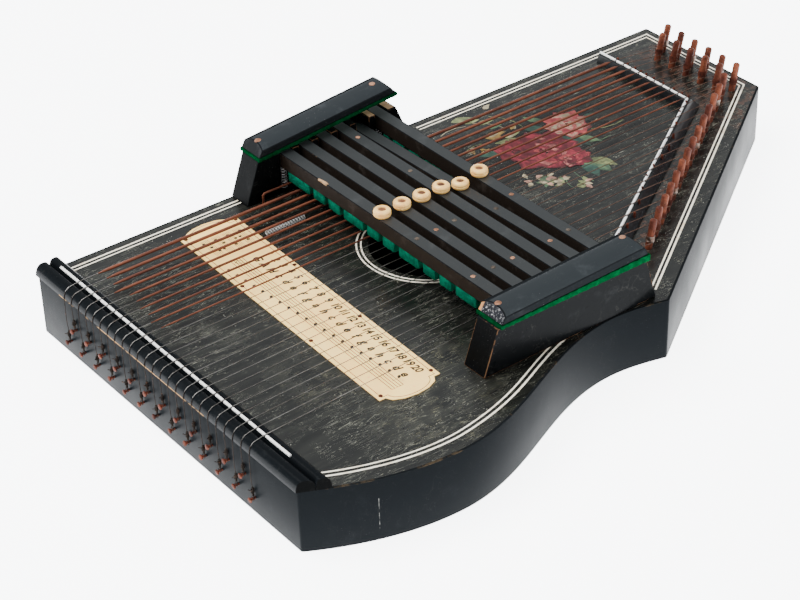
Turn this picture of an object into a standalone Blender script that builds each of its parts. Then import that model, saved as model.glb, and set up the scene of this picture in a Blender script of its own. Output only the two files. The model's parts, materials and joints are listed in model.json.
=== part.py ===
"""Chorded zither: a flat black box with 25 strings and six felted chord bars.

Plan frame: x runs along the strings from the hitch end to the pin end, y runs from the treble
side to the bass side, z is up from the underside of the back. The root empty moves that frame,
so that the world origin is at the bottom centre of the whole object. Lengths are in metres.
"""
import math

import bmesh
import bpy
from mathutils import Matrix, Vector

# ------------------------------------------------------------------ driving dimensions
GAP = 0.0003                     # left between two pieces that touch

BODY_LENGTH = 0.4835
BODY_WIDTH = 0.2638
BODY_HEIGHT = 0.0400
BOARD = 0.0030                   # thickness of the soundboard and of the back
RIB = 0.0050                     # thickness of the side ribs
PIN_END_WIDTH = 0.1095           # length of the straight top end
WAIST = (0.2655, 0.0075)         # corner between the curved treble side and the pin side
BULGE = (0.0880, -0.0265)        # widest point of the treble side
HOLLOW = (0.2280, 0.0142)        # deepest point of its hollow

HITCH_BLOCK = 0.0180
PIN_BLOCK = (0.0053, 0.0400)     # distances of the pin block's edges from the pin side
PIN_BLOCK_START = 0.0120         # its distance from the waist corner, along the pin side
PIN_BLOCK_FRONT = 0.4320
BRACE = (0.0950, 0.1030)
BRACE_DEPTH = 0.0127

SOUND_HOLE = (0.1982, 0.1438)
SOUND_HOLE_RADIUS = 0.0365

STRING_COUNT = 25
STRING_LEVEL = BODY_HEIGHT + 0.0079
STRING_END_LEVEL = BODY_HEIGHT + 0.0045
STRING_RADIUS = 0.00045
FIRST_AT_ROD = 0.2309
PITCH_AT_ROD = 0.00788
FIRST_AT_BRIDGE = 0.2320
PITCH_AT_BRIDGE = 0.00750

ROD_SIDES = 10
ROD_X = 0.0097
ROD_RADIUS = 0.0014
ROD_SPAN = (0.0197, 0.2521)

RAIL_FRONT = -0.0014             # the moulding overhangs the end face a little
RAIL_STEP = 0.0080               # end of its half-round part
RAIL_BACK = 0.0156
RAIL_CROWN = BODY_HEIGHT + 0.0068

HITCH_PIN_ROWS = (0.0105, 0.0222)
HITCH_PIN_RADIUS = 0.0009
HITCH_HEAD_RADIUS = 0.0016
HITCH_PIN_REACH = 0.0040

BRIDGE_X = 0.4270                # bass stretch of the pin bridge, parallel to y
BRIDGE_CORNER_Y = 0.1640
BRIDGE_BASS_Y = 0.2480
BRIDGE_TREBLE = (0.2520, 0.0513)
BRIDGE_ROD_RADIUS = 0.0013
BRIDGE_FOOT = (-0.0032, 0.0072)  # distances of the bridge's foot edges from its rod, towards the pins
BRIDGE_SEAT = (-0.0020, 0.0024)  # the same for the level strip that the rod lies on
BRIDGE_BACK_EDGE = 0.0022
GUIDE_PIN_OFFSET = 0.0030
GUIDE_PIN_RADIUS = 0.0008
GUIDE_PIN_CLEAR = GUIDE_PIN_RADIUS + STRING_RADIUS + GAP

PIN_RADIUS = 0.0022
PIN_LEAN = math.radians(11)      # all pins lean back; the first ones of the zigzag lean more
PIN_EXTRA_LEAN = math.radians(4)
PIN_HEIGHT = 0.0194
PIN_DEPTH = 0.0200
PIN_HOLE_RADIUS = 0.00275
PIN_REAR_X = (0.4689, 0.4662)    # the rear row closes in on the front row towards the treble
PIN_FRONT_X = 0.4576
PIN_ZIGZAG_FIRST = 0.2321
PIN_ZIGZAG_PITCH = 0.00694
PIN_ZIGZAG_COUNT = 11
PIN_SLANT_FIRST = (0.4504, 0.1578)
PIN_SLANT_STEP = (-0.01205, -0.007846)

HOLDER_TOP = 0.0686
BASS_HOLDER_Y = (0.2464, 0.2636)
BASS_HOLDER_FOOT = (0.1373, 0.2650)
BASS_HOLDER_CROWN = (0.1475, 0.2530)
TREBLE_HOLDER_Y = (0.0152, 0.0330)
TREBLE_HOLDER_FOOT = (0.1355, 0.2622)
TREBLE_HOLDER_CROWN = (0.1455, 0.2540)
SLOT_WIDTH = 0.0096
SLOT_DEPTH = 0.0122
SLOT_FLOOR = BODY_HEIGHT + 0.0023

COVER_FELT = 0.0021
COVER_EDGE = 0.0042
COVER_CROWN = 0.0068
COVER_BEVEL = 0.0045             # how far a cover's ends lean in from bottom to crown
BASS_COVER_X = (0.1478, 0.2526)
BASS_COVER_Y = (0.2450, 0.2646)
BASS_COVER_LIFT = math.radians(5.0)
TREBLE_COVER_X = (0.1470, 0.2540)
TREBLE_COVER_Y = (0.0138, 0.0346)
TREBLE_COVER_LIFT = math.radians(1.7)
FELT_OVERHANG = 0.0007

BAR_COUNT = 6
FIRST_BAR_X = 0.1683
BAR_PITCH = 0.0146
BAR_WIDTH = 0.0086
BAR_TOP = 0.0683
BAR_HEIGHT = 0.0098
BAR_ENDS = (0.0222, 0.2570)
BAR_FELT = 0.0070
FELT_NOTCH = 0.0023              # half the gap in the felt over a string that rings
FELT_ENDS = (0.0385, 0.2400)
DROPPED_BAR = 5
DROPPED_TILT = math.radians(1.5)
DROPPED_PIVOT_Y = 0.0250
DROPPED_FELT_END = 0.0900        # the dropped bar has kept its felt only on the treble side of this
STRINGS_PER_OCTAVE = 7

BUTTON_Y = 0.1490
BUTTON_RADIUS = 0.0054
BUTTON_HEIGHT = 0.0048
BUTTON_HOLE = 0.0017

CARD_CENTRE = (0.1022, 0.1372)
CARD_SIZE = (0.0407, 0.2046)
CARD_TURN = math.radians(-1.45)  # the card is tacked on slightly askew
CARD_THICKNESS = 0.0004
CARD_ARCH = 0.0075

WIRE_RADIUS = 0.00075
WIRE_Y = 0.2430
WIRE_X = (0.1470, 0.2560)
WIRE_LEVEL = BODY_HEIGHT + 0.0076

SPRING_RADIUS = 0.0024
SPRING_WIRE = 0.0003
LOOSE_SPRING_START = (0.1270, 0.2125)
LOOSE_SPRING_LENGTH = 0.0300

WIDEST_Y = BASS_COVER_Y[1] + FELT_OVERHANG
CENTRE = ((BODY_LENGTH - HITCH_PIN_REACH) / 2, (BULGE[1] + WIDEST_Y) / 2)

COLOURS = {                      # colour, roughness, metallic
    "lacquer": ((0.012, 0.013, 0.014), 0.22, 0.0),
    "bar_lacquer": ((0.020, 0.021, 0.023), 0.45, 0.0),
    "softwood": ((0.55, 0.38, 0.22), 0.60, 0.0),
    "hardwood": ((0.42, 0.25, 0.13), 0.55, 0.0),
    "felt": ((0.004, 0.130, 0.075), 0.95, 0.0),
    "ivory": ((0.83, 0.72, 0.54), 0.35, 0.0),
    "white_rod": ((0.80, 0.78, 0.74), 0.30, 0.0),
    "string_steel": ((0.55, 0.54, 0.52), 0.35, 1.0),
    "rusty_steel": ((0.26, 0.08, 0.035), 0.70, 0.6),
    "rusty_wire": ((0.32, 0.12, 0.06), 0.60, 0.6),
    "spring_steel": ((0.45, 0.46, 0.48), 0.30, 1.0),
    "paper": ((0.80, 0.66, 0.45), 0.80, 0.0),
}


# ------------------------------------------------------------------ small helpers
def clear_scene():
    for item in list(bpy.data.objects):
        bpy.data.objects.remove(item, do_unlink=True)


def make_material(name):
    colour, roughness, metallic = COLOURS[name]
    material = bpy.data.materials.new(name)
    material.use_nodes = True
    shader = material.node_tree.nodes["Principled BSDF"]
    shader.inputs["Base Color"].default_value = (*colour, 1.0)
    shader.inputs["Roughness"].default_value = roughness
    shader.inputs["Metallic"].default_value = metallic
    return material


def add_object(name, bm, material, parent, place=(0.0, 0.0, 0.0), turn=(0.0, 0.0, 0.0)):
    """Turn a bmesh into an object under its parent; the mesh is given about its own origin."""
    bmesh.ops.recalc_face_normals(bm, faces=bm.faces)
    mesh = bpy.data.meshes.new(name)
    bm.to_mesh(mesh)
    bm.free()
    mesh.shade_smooth()
    mesh.set_sharp_from_angle(angle=math.radians(35))
    if material:
        mesh.materials.append(material)
    item = bpy.data.objects.new(name, mesh)
    bpy.context.scene.collection.objects.link(item)
    item.parent = parent
    item.location = place
    item.rotation_euler = turn
    return item


def as_tool(item):
    """Mark an object as a shape that only cuts or joins another."""
    item.hide_render = True
    item.display_type = "WIRE"
    return item


def combine(item, tool, operation):
    item.data.shade_flat()
    modifier = item.modifiers.new(operation.lower(), "BOOLEAN")
    modifier.operation = operation
    modifier.solver = "EXACT"
    modifier.object = tool


def add_prism(bm, outline, low, high):
    """A plan outline of (x, y) points, raised from low to high."""
    bottom = [bm.verts.new((x, y, low)) for x, y in outline]
    top = [bm.verts.new((x, y, high)) for x, y in outline]
    bm.faces.new(bottom)
    bm.faces.new(top)
    for a in range(len(outline)):
        b = (a + 1) % len(outline)
        bm.faces.new((bottom[a], bottom[b], top[b], top[a]))


def add_bar(bm, profile, low, high, across="y"):
    """A closed profile carried along y, of (x, z) points, or along x, of (y, z) points.

    Each end is a number, or a function that gives the end for a profile point.
    """
    def end_point(u, z, limit):
        reach = limit(u, z) if callable(limit) else limit
        return (u, reach, z) if across == "y" else (reach, u, z)

    near = [bm.verts.new(end_point(u, z, low)) for u, z in profile]
    far = [bm.verts.new(end_point(u, z, high)) for u, z in profile]
    bm.faces.new(near)
    bm.faces.new(far)
    for a in range(len(profile)):
        b = (a + 1) % len(profile)
        bm.faces.new((near[a], near[b], far[b], far[a]))


def add_box(bm, x_range, y_range, z_range):
    corners = [(x_range[0], y_range[0]), (x_range[1], y_range[0]),
               (x_range[1], y_range[1]), (x_range[0], y_range[1])]
    add_prism(bm, corners, *z_range)


def add_turned(bm, profile, sides, matrix=None, closed=False):
    """Turn (radius, height) points about z. Open profiles are closed by flat ends."""
    rings = []
    for radius, height in profile:
        ring = []
        for step in range(sides):
            angle = 2 * math.pi * step / sides
            point = Vector((radius * math.cos(angle), radius * math.sin(angle), height))
            ring.append(bm.verts.new(matrix @ point if matrix else point))
        rings.append(ring)
    pairs = list(zip(rings, rings[1:]))
    if closed:
        pairs.append((rings[-1], rings[0]))
    else:
        bm.faces.new(rings[0])
        bm.faces.new(rings[-1])
    for lower, upper in pairs:
        for a in range(sides):
            b = (a + 1) % sides
            bm.faces.new((lower[a], lower[b], upper[b], upper[a]))


def add_tube(bm, points, radii, sides):
    """A round tube through points that never run along y."""
    points = [Vector(point) for point in points]
    rings = []
    for a, point in enumerate(points):
        before = points[max(a - 1, 0)]
        after = points[min(a + 1, len(points) - 1)]
        along = (after - before).normalized()
        side = (Vector((0, 1, 0)) - along * along.y).normalized()
        up = along.cross(side)
        ring = []
        for step in range(sides):
            angle = 2 * math.pi * step / sides
            ring.append(bm.verts.new(point + radii[a] * (side * math.cos(angle) + up * math.sin(angle))))
        rings.append(ring)
    bm.faces.new(rings[0])
    bm.faces.new(rings[-1])
    for lower, upper in zip(rings, rings[1:]):
        for a in range(sides):
            b = (a + 1) % sides
            bm.faces.new((lower[a], lower[b], upper[b], upper[a]))


def bezier(start, handle_a, handle_b, end, steps):
    """Points of a cubic curve, without its last point."""
    points = []
    for step in range(steps):
        t = step / steps
        weights = ((1 - t) ** 3, 3 * t * (1 - t) ** 2, 3 * t * t * (1 - t), t ** 3)
        corners = (start, handle_a, handle_b, end)
        points.append(tuple(sum(w * c[k] for w, c in zip(weights, corners)) for k in (0, 1)))
    return points


# ------------------------------------------------------------------ outline of the body
def treble_side_curve():
    """The S-shaped treble side, from the hitch end to the waist corner."""
    reach = 0.0501               # length of the two level handles of the middle stretch
    swell = bezier((0.0, 0.0), (0.0200, -0.0120), (0.0520, BULGE[1]), BULGE, 8)
    sweep = bezier(BULGE, (BULGE[0] + reach, BULGE[1]), (HOLLOW[0] - reach, HOLLOW[1]), HOLLOW, 12)
    rise = bezier(HOLLOW, (0.2420, HOLLOW[1]), (0.2550, 0.0105), WAIST, 4)
    return swell + sweep + rise + [WAIST]


TOP_END_CORNER = (BODY_LENGTH, BODY_WIDTH - PIN_END_WIDTH)
CURVE = treble_side_curve()
OUTLINE = CURVE + [TOP_END_CORNER, (BODY_LENGTH, BODY_WIDTH), (0.0, BODY_WIDTH)]


def offset_inward(outline, distance):
    """The same outline, moved inward, for an outline that runs anticlockwise."""
    moved = []
    count = len(outline)
    for a in range(count):
        previous, here, following = outline[a - 1], outline[a], outline[(a + 1) % count]
        into = Vector((here[0] - previous[0], here[1] - previous[1])).normalized()
        out = Vector((following[0] - here[0], following[1] - here[1])).normalized()
        normal = Vector((-into.y - out.y, into.x + out.x)).normalized()
        share = distance / max(normal.dot(Vector((-into.y, into.x))), 0.2)
        moved.append((here[0] + normal.x * share, here[1] + normal.y * share))
    return moved


INNER = offset_inward(OUTLINE, RIB)


def treble_edge(x, _level=0.0):
    """The body's y on the treble side, at a given x and any level."""
    if x <= 0:
        return 0.0
    for a, b in zip(CURVE, CURVE[1:]):
        if a[0] <= x <= b[0]:
            return a[1] + (b[1] - a[1]) * (x - a[0]) / (b[0] - a[0])
    return WAIST[1]


def beside_pin_side(distance, along):
    """A point at a distance inside the pin side, and so far along it from the waist corner."""
    run = Vector((TOP_END_CORNER[0] - WAIST[0], TOP_END_CORNER[1] - WAIST[1])).normalized()
    return (WAIST[0] + run.x * along - run.y * distance, WAIST[1] + run.y * along + run.x * distance)


def beside_pin_side_at(distance, x):
    """The point at a distance inside the pin side that has a given x."""
    run = Vector((TOP_END_CORNER[0] - WAIST[0], TOP_END_CORNER[1] - WAIST[1])).normalized()
    along = (x - WAIST[0] + run.y * distance) / run.x
    return beside_pin_side(distance, along)


# ------------------------------------------------------------------ strings and pins
def at_rod(index):
    return (ROD_X, FIRST_AT_ROD - PITCH_AT_ROD * index)


def at_bridge(index):
    """Where a string crosses the rod of the pin bridge."""
    y = FIRST_AT_BRIDGE - PITCH_AT_BRIDGE * index
    if y >= BRIDGE_CORNER_Y:
        return (BRIDGE_X, y)
    share = (BRIDGE_CORNER_Y - y) / (BRIDGE_CORNER_Y - BRIDGE_TREBLE[1])
    return (BRIDGE_X + (BRIDGE_TREBLE[0] - BRIDGE_X) * share, y)


def string_y(index, x):
    rod, bridge = at_rod(index), at_bridge(index)
    return rod[1] + (bridge[1] - rod[1]) * (x - rod[0]) / (bridge[0] - rod[0])


def pin_place(index):
    """Where a tuning pin meets the soundboard."""
    if index < PIN_ZIGZAG_COUNT:
        share = index / (PIN_ZIGZAG_COUNT - 1)
        rear = PIN_REAR_X[0] + (PIN_REAR_X[1] - PIN_REAR_X[0]) * share
        return (PIN_FRONT_X if index % 2 else rear, PIN_ZIGZAG_FIRST - PIN_ZIGZAG_PITCH * index)
    step = index - PIN_ZIGZAG_COUNT
    return (PIN_SLANT_FIRST[0] + PIN_SLANT_STEP[0] * step, PIN_SLANT_FIRST[1] + PIN_SLANT_STEP[1] * step)


def pin_lean(index):
    return PIN_LEAN + PIN_EXTRA_LEAN * max(0.0, 1 - index / (PIN_ZIGZAG_COUNT - 1))


def pin_matrix(index):
    x, y = pin_place(index)
    return Matrix.Translation((x, y, BODY_HEIGHT)) @ Matrix.Rotation(pin_lean(index), 4, "Y")


def rail_arc(margin, degrees):
    """A point on the rail's half-round part, moved outward by a margin."""
    centre_x = (RAIL_FRONT + RAIL_STEP) / 2
    base = BODY_HEIGHT + GAP
    angle = math.radians(degrees)
    x = centre_x - ((RAIL_STEP - RAIL_FRONT) / 2 + margin) * math.cos(angle)
    return (x, base + (RAIL_CROWN - base + margin) * math.sin(angle))


def string_end(index):
    """Where a string reaches its tuning pin.

    Strings meet their pins on the treble side, but the last of the zigzag row goes round the
    bass side, to pass the first pin of the slanting row.
    """
    x, y = pin_place(index)
    winding = 1 if index == PIN_ZIGZAG_COUNT - 1 else -1
    rise = STRING_END_LEVEL - BODY_HEIGHT
    return (x + math.tan(pin_lean(index)) * rise, y + winding * (PIN_RADIUS + STRING_RADIUS + 2 * GAP))


def string_run(index):
    """Plan direction of a string between the pin bridge and its tuning pin."""
    start, end = at_bridge(index), string_end(index)
    return Vector((end[0] - start[0], end[1] - start[1])).normalized()


def guide_pin_reach(index):
    """How far along its string, past the rod, a guide pin stands."""
    run = string_run(index)
    side = Vector((-run.y, run.x))
    out = Vector((1, 0))
    if at_bridge(index)[1] < BRIDGE_CORNER_Y:
        out = Vector((BRIDGE_CORNER_Y - BRIDGE_TREBLE[1], BRIDGE_TREBLE[0] - BRIDGE_X)).normalized()
    return (GUIDE_PIN_OFFSET - GUIDE_PIN_CLEAR * side.dot(out)) / run.dot(out)


def string_route(index):
    """From its hitch pin up over the rail, across both rods and down to its tuning pin."""
    radius = STRING_RADIUS
    rod, bridge = at_rod(index), at_bridge(index)
    row = HITCH_PIN_ROWS[index % 2]
    clear = radius + 2 * GAP
    route = [(-HITCH_PIN_RADIUS - 2 * GAP, rod[1], row + HITCH_PIN_RADIUS + clear)]
    for degrees in (0, 32, 62, 90):
        x, z = rail_arc(clear, degrees)
        route.append((x, rod[1], z))
    route.append((*rod, STRING_LEVEL))
    level = STRING_LEVEL + radius + GAP / 2
    route.append((*bridge, level))
    past = string_run(index) * (guide_pin_reach(index) + GUIDE_PIN_RADIUS)
    route.append((bridge[0] + past.x, bridge[1] + past.y, level))
    route.append((*string_end(index), STRING_END_LEVEL))
    return route


# ------------------------------------------------------------------ body pieces
def build_body(root, paint):
    bm = bmesh.new()
    add_prism(bm, OUTLINE, 0.0, BOARD)
    add_object("back_board", bm, paint["lacquer"], root)

    bm = bmesh.new()
    add_prism(bm, OUTLINE, BODY_HEIGHT - BOARD, BODY_HEIGHT)
    soundboard = add_object("soundboard", bm, paint["lacquer"], root)
    bm = bmesh.new()
    place = Matrix.Translation((*SOUND_HOLE, 0))
    add_turned(bm, [(SOUND_HOLE_RADIUS, 0.03), (SOUND_HOLE_RADIUS, 0.05)], 32, place)
    combine(soundboard, as_tool(add_object("sound_hole_cutter", bm, None, root)), "DIFFERENCE")
    bm = bmesh.new()
    for index in range(STRING_COUNT):
        reach = (-PIN_DEPTH - 0.0015, 0.010)
        add_turned(bm, [(PIN_HOLE_RADIUS, h) for h in reach], 10, pin_matrix(index))
    pin_holes = as_tool(add_object("pin_hole_cutter", bm, None, root))
    combine(soundboard, pin_holes, "DIFFERENCE")

    low, high = BOARD + GAP, BODY_HEIGHT - BOARD - GAP
    count = len(CURVE)
    cut = HITCH_BLOCK + GAP
    first = next(a for a, point in enumerate(CURVE) if point[0] > cut)
    start_out = (cut, treble_edge(cut))
    start_in = (cut, treble_edge(cut) + RIB * 1.15)
    inner = [point for point in INNER[:count] if point[0] > cut]
    bm = bmesh.new()
    mitre = Vector((WAIST[0] - CURVE[-2][0], WAIST[1] - CURVE[-2][1])).normalized() * GAP / 2
    outer_end = (WAIST[0] - mitre.x, WAIST[1] - mitre.y)
    inner_end = (inner[-1][0] - mitre.x, inner[-1][1] - mitre.y)
    outer_run = [start_out] + CURVE[first:-1] + [outer_end]
    inner_run = [start_in] + inner[:-1] + [inner_end]
    add_prism(bm, outer_run + inner_run[::-1], low, high)
    add_object("treble_side", bm, paint["lacquer"], root)

    sides = {
        "pin_side": (OUTLINE[count - 1], OUTLINE[count], INNER[count], INNER[count - 1]),
        "top_side": (OUTLINE[count], OUTLINE[count + 1], INNER[count + 1], INNER[count]),
        "bass_side": (OUTLINE[count + 1], (cut, BODY_WIDTH), (cut, BODY_WIDTH - RIB), INNER[count + 1]),
    }
    for name, corners in sides.items():
        run = Vector((corners[1][0] - corners[0][0], corners[1][1] - corners[0][1])).normalized() * GAP / 2
        shrunk = [(x + run.x * sign, y + run.y * sign) for (x, y), sign in zip(corners, (1, -1, -1, 1))]
        bm = bmesh.new()
        add_prism(bm, shrunk, low, high)
        add_object(name, bm, paint["lacquer"], root)

    bm = bmesh.new()
    along = [point for point in CURVE if point[0] < HITCH_BLOCK]
    block = along + [(HITCH_BLOCK, treble_edge(HITCH_BLOCK)), (HITCH_BLOCK, BODY_WIDTH), (0.0, BODY_WIDTH)]
    add_prism(bm, block, low, high)
    hitch_block = add_object("hitch_block", bm, paint["lacquer"], root)
    bm = bmesh.new()
    for index in range(STRING_COUNT):
        seat = Matrix.Translation((0, at_rod(index)[1], HITCH_PIN_ROWS[index % 2]))
        facing = seat @ Matrix.Rotation(math.radians(-90), 4, "Y")
        neck = HITCH_PIN_REACH - 0.0008
        nail = [(HITCH_PIN_RADIUS, -0.008), (HITCH_PIN_RADIUS, neck),
                (HITCH_HEAD_RADIUS, neck), (HITCH_HEAD_RADIUS, HITCH_PIN_REACH)]
        add_turned(bm, nail, 6, facing)
    combine(hitch_block, as_tool(add_object("hitch_pin_shapes", bm, None, root)), "UNION")

    bm = bmesh.new()
    near, far = PIN_BLOCK
    edge = BODY_LENGTH - RIB - GAP
    high_y = BODY_WIDTH - RIB - GAP
    block = [beside_pin_side(near, PIN_BLOCK_START), beside_pin_side_at(near, edge), (edge, high_y),
             (PIN_BLOCK_FRONT, high_y), beside_pin_side_at(far, PIN_BLOCK_FRONT),
             beside_pin_side(far, PIN_BLOCK_START)]
    add_prism(bm, block, low, high)
    pin_block = add_object("pin_block", bm, paint["hardwood"], root)
    combine(pin_block, pin_holes, "DIFFERENCE")

    bm = bmesh.new()
    treble_wall = treble_edge(sum(BRACE) / 2) + RIB + 0.0012
    add_box(bm, BRACE, (treble_wall, high_y), (high - BRACE_DEPTH, high))
    add_object("brace", bm, paint["softwood"], root)


def build_hitch_rail(root, paint):
    """A half-round moulding with a lower rounded step behind it, grooved for the white rod."""
    base = BODY_HEIGHT + GAP
    half_round = [rail_arc(0, degrees) for degrees in range(0, 160, 20)]
    step = [(RAIL_STEP + 0.0002, RAIL_CROWN - 0.0006), (RAIL_STEP + 0.0010, RAIL_CROWN + 0.0007),
            (RAIL_STEP + 0.0030, RAIL_CROWN + 0.0006), (RAIL_STEP + 0.0046, RAIL_CROWN - 0.0009),
            (RAIL_BACK - 0.0012, base + 0.0028), (RAIL_BACK, base)]
    bm = bmesh.new()
    add_bar(bm, half_round + step, treble_edge, BODY_WIDTH)
    rail = add_object("hitch_rail", bm, paint["lacquer"], root)
    bm = bmesh.new()
    slack = ROD_RADIUS + GAP
    add_box(bm, (ROD_X - slack, ROD_X + slack), (ROD_SPAN[0] - GAP, ROD_SPAN[1] + GAP),
            (STRING_LEVEL - 2 * ROD_RADIUS - GAP, STRING_LEVEL + 0.003))
    combine(rail, as_tool(add_object("rod_groove_cutter", bm, None, root)), "DIFFERENCE")


def build_strings(root, paint):
    """All strings with the white rod that they bear on at the hitch end."""
    bm = bmesh.new()
    lying = Matrix.Translation((ROD_X, 0, STRING_LEVEL - ROD_RADIUS)) @ Matrix.Rotation(math.radians(-90), 4, "X")
    add_turned(bm, [(ROD_RADIUS, ROD_SPAN[0]), (ROD_RADIUS, ROD_SPAN[1])], ROD_SIDES, lying)
    rod = add_object("string_set", bm, paint["string_steel"], root)
    bm = bmesh.new()
    for index in range(STRING_COUNT):
        route = string_route(index)
        radii = [STRING_RADIUS] * len(route)
        add_tube(bm, route, radii, 5)
    combine(rod, as_tool(add_object("string_shapes", bm, None, root)), "UNION")


def bridge_line(distance):
    """Plan points of the bridge's rod line, moved towards the pins: bass end, corner, treble end."""
    run = Vector((BRIDGE_X - BRIDGE_TREBLE[0], BRIDGE_CORNER_Y - BRIDGE_TREBLE[1])).normalized()
    mitre = math.tan(math.atan2(run.x, run.y) / 2)
    return [(BRIDGE_X + distance, BRIDGE_BASS_Y),
            (BRIDGE_X + distance, BRIDGE_CORNER_Y - distance * mitre),
            (BRIDGE_TREBLE[0] + run.y * distance, BRIDGE_TREBLE[1] - run.x * distance)]


def join_sections(bm, sections):
    """Skin between neighbouring rings of points, with flat ends."""
    rings = [[bm.verts.new(point) for point in section] for section in sections]
    bm.faces.new(rings[0])
    bm.faces.new(rings[-1])
    for near, far in zip(rings, rings[1:]):
        for a in range(len(near)):
            b = (a + 1) % len(near)
            bm.faces.new((near[a], near[b], far[b], far[a]))


def build_bridge(root, paint):
    base = BODY_HEIGHT + GAP
    seat = STRING_LEVEL - 2 * BRIDGE_ROD_RADIUS - GAP
    feet = [bridge_line(distance) for distance in BRIDGE_FOOT]
    seats = [bridge_line(distance) for distance in BRIDGE_SEAT]
    sections = []
    for a in range(3):
        sections.append([(*feet[0][a], base), (*seats[0][a], seat), (*seats[1][a], seat),
                         (*feet[1][a], base + BRIDGE_BACK_EDGE), (*feet[1][a], base)])
    bm = bmesh.new()
    join_sections(bm, sections)
    bridge = add_object("pin_bridge", bm, paint["lacquer"], root)

    bm = bmesh.new()
    for index in range(STRING_COUNT):
        place = Matrix.Translation((*guide_pin_place(index), 0))
        add_turned(bm, [(GUIDE_PIN_RADIUS, base + 0.0010), (GUIDE_PIN_RADIUS, STRING_LEVEL + 0.0006)], 5, place)
    combine(bridge, as_tool(add_object("guide_pin_shapes", bm, None, root)), "UNION")

    centre = STRING_LEVEL - BRIDGE_ROD_RADIUS
    path = bridge_line(0.0)
    sections = []
    for a, point in enumerate(path):
        before, after = path[max(a - 1, 0)], path[min(a + 1, 2)]
        along = Vector((after[0] - before[0], after[1] - before[1], 0)).normalized()
        side = along.cross(Vector((0, 0, 1)))
        section = []
        for step in range(ROD_SIDES):
            angle = 2 * math.pi * step / ROD_SIDES
            offset = side * math.cos(angle) + Vector((0, 0, 1)) * math.sin(angle)
            section.append(Vector((*point, centre)) + BRIDGE_ROD_RADIUS * offset)
        sections.append(section)
    bm = bmesh.new()
    join_sections(bm, sections)
    add_object("pin_bridge_rod", bm, paint["white_rod"], root)


def guide_pin_place(index):
    """Behind the rod and on the bass side of its string."""
    x, y = at_bridge(index)
    run = string_run(index)
    reach = guide_pin_reach(index)
    return (x + run.x * reach - run.y * GUIDE_PIN_CLEAR, y + run.y * reach + run.x * GUIDE_PIN_CLEAR)


def build_tuning_pins(root, paint):
    dome = [(PIN_RADIUS, -PIN_DEPTH), (PIN_RADIUS, PIN_HEIGHT - 0.0012),
            (PIN_RADIUS * 0.7, PIN_HEIGHT - 0.0003), (PIN_RADIUS * 0.3, PIN_HEIGHT)]
    for index in range(STRING_COUNT):
        bm = bmesh.new()
        add_turned(bm, dome, 8)
        place = (*pin_place(index), BODY_HEIGHT)
        add_object(f"tuning_pin_{index + 1:02d}", bm, paint["rusty_steel"], root, place,
                   (0, pin_lean(index), 0))


# ------------------------------------------------------------------ chord bar unit
def bar_x(number):
    return FIRST_BAR_X + BAR_PITCH * (number - 1)


def ringing(number, string_number):
    """A bar leaves every third scale step of its own triad free of felt."""
    step = (string_number - 3 - (number - 1)) % STRINGS_PER_OCTAVE
    return step in (0, 2, 4)


def felt_blocks(number):
    """Spans of felt along y, from bass to treble, between the strings that ring."""
    x = bar_x(number)
    blocks = []
    top = FELT_ENDS[1] if number != DROPPED_BAR else DROPPED_FELT_END
    for index in range(STRING_COUNT):
        if not ringing(number, index + 1):
            continue
        y = string_y(index, x)
        if y + FELT_NOTCH > top:
            continue
        if top - (y + FELT_NOTCH) > 0.004:
            blocks.append((y + FELT_NOTCH, top))
        top = y - FELT_NOTCH
    if top - FELT_ENDS[0] > 0.004:
        blocks.append((FELT_ENDS[0], top))
    return blocks


def bar_profile(number, pivot_y, pivot_z):
    """Side view of a bar with the felt blocks under it, about its own origin."""
    bottom = BAR_TOP - BAR_HEIGHT
    profile = [(BAR_ENDS[0], BAR_TOP), (BAR_ENDS[0], bottom)]
    for low, high in felt_blocks(number)[::-1]:
        profile += [(low, bottom), (low, bottom - BAR_FELT), (high, bottom - BAR_FELT), (high, bottom)]
    profile += [(BAR_ENDS[1], bottom), (BAR_ENDS[1], BAR_TOP)]
    return [(y - pivot_y, z - pivot_z) for y, z in profile]


def build_bars(root, paint):
    button = [(BUTTON_HOLE, 0.0), (BUTTON_RADIUS * 0.95, 0.0), (BUTTON_RADIUS, BUTTON_HEIGHT * 0.38),
              (BUTTON_RADIUS * 0.86, BUTTON_HEIGHT * 0.80), (BUTTON_RADIUS * 0.62, BUTTON_HEIGHT),
              (BUTTON_HOLE, BUTTON_HEIGHT * 0.80)]
    for number in range(1, BAR_COUNT + 1):
        tilt = -DROPPED_TILT if number == DROPPED_BAR else 0.0
        pivot_y = DROPPED_PIVOT_Y if number == DROPPED_BAR else BUTTON_Y
        bm = bmesh.new()
        half = BAR_WIDTH / 2
        add_bar(bm, bar_profile(number, pivot_y, BAR_TOP), -half, half, across="x")
        place = (bar_x(number), pivot_y, BAR_TOP)
        bar = add_object(f"chord_bar_{number}", bm, paint["bar_lacquer"], root, place, (tilt, 0, 0))
        bm = bmesh.new()
        add_turned(bm, button, 14, closed=True)
        add_object(f"button_{number}", bm, paint["ivory"], bar, (0, BUTTON_Y - pivot_y, GAP))


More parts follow.
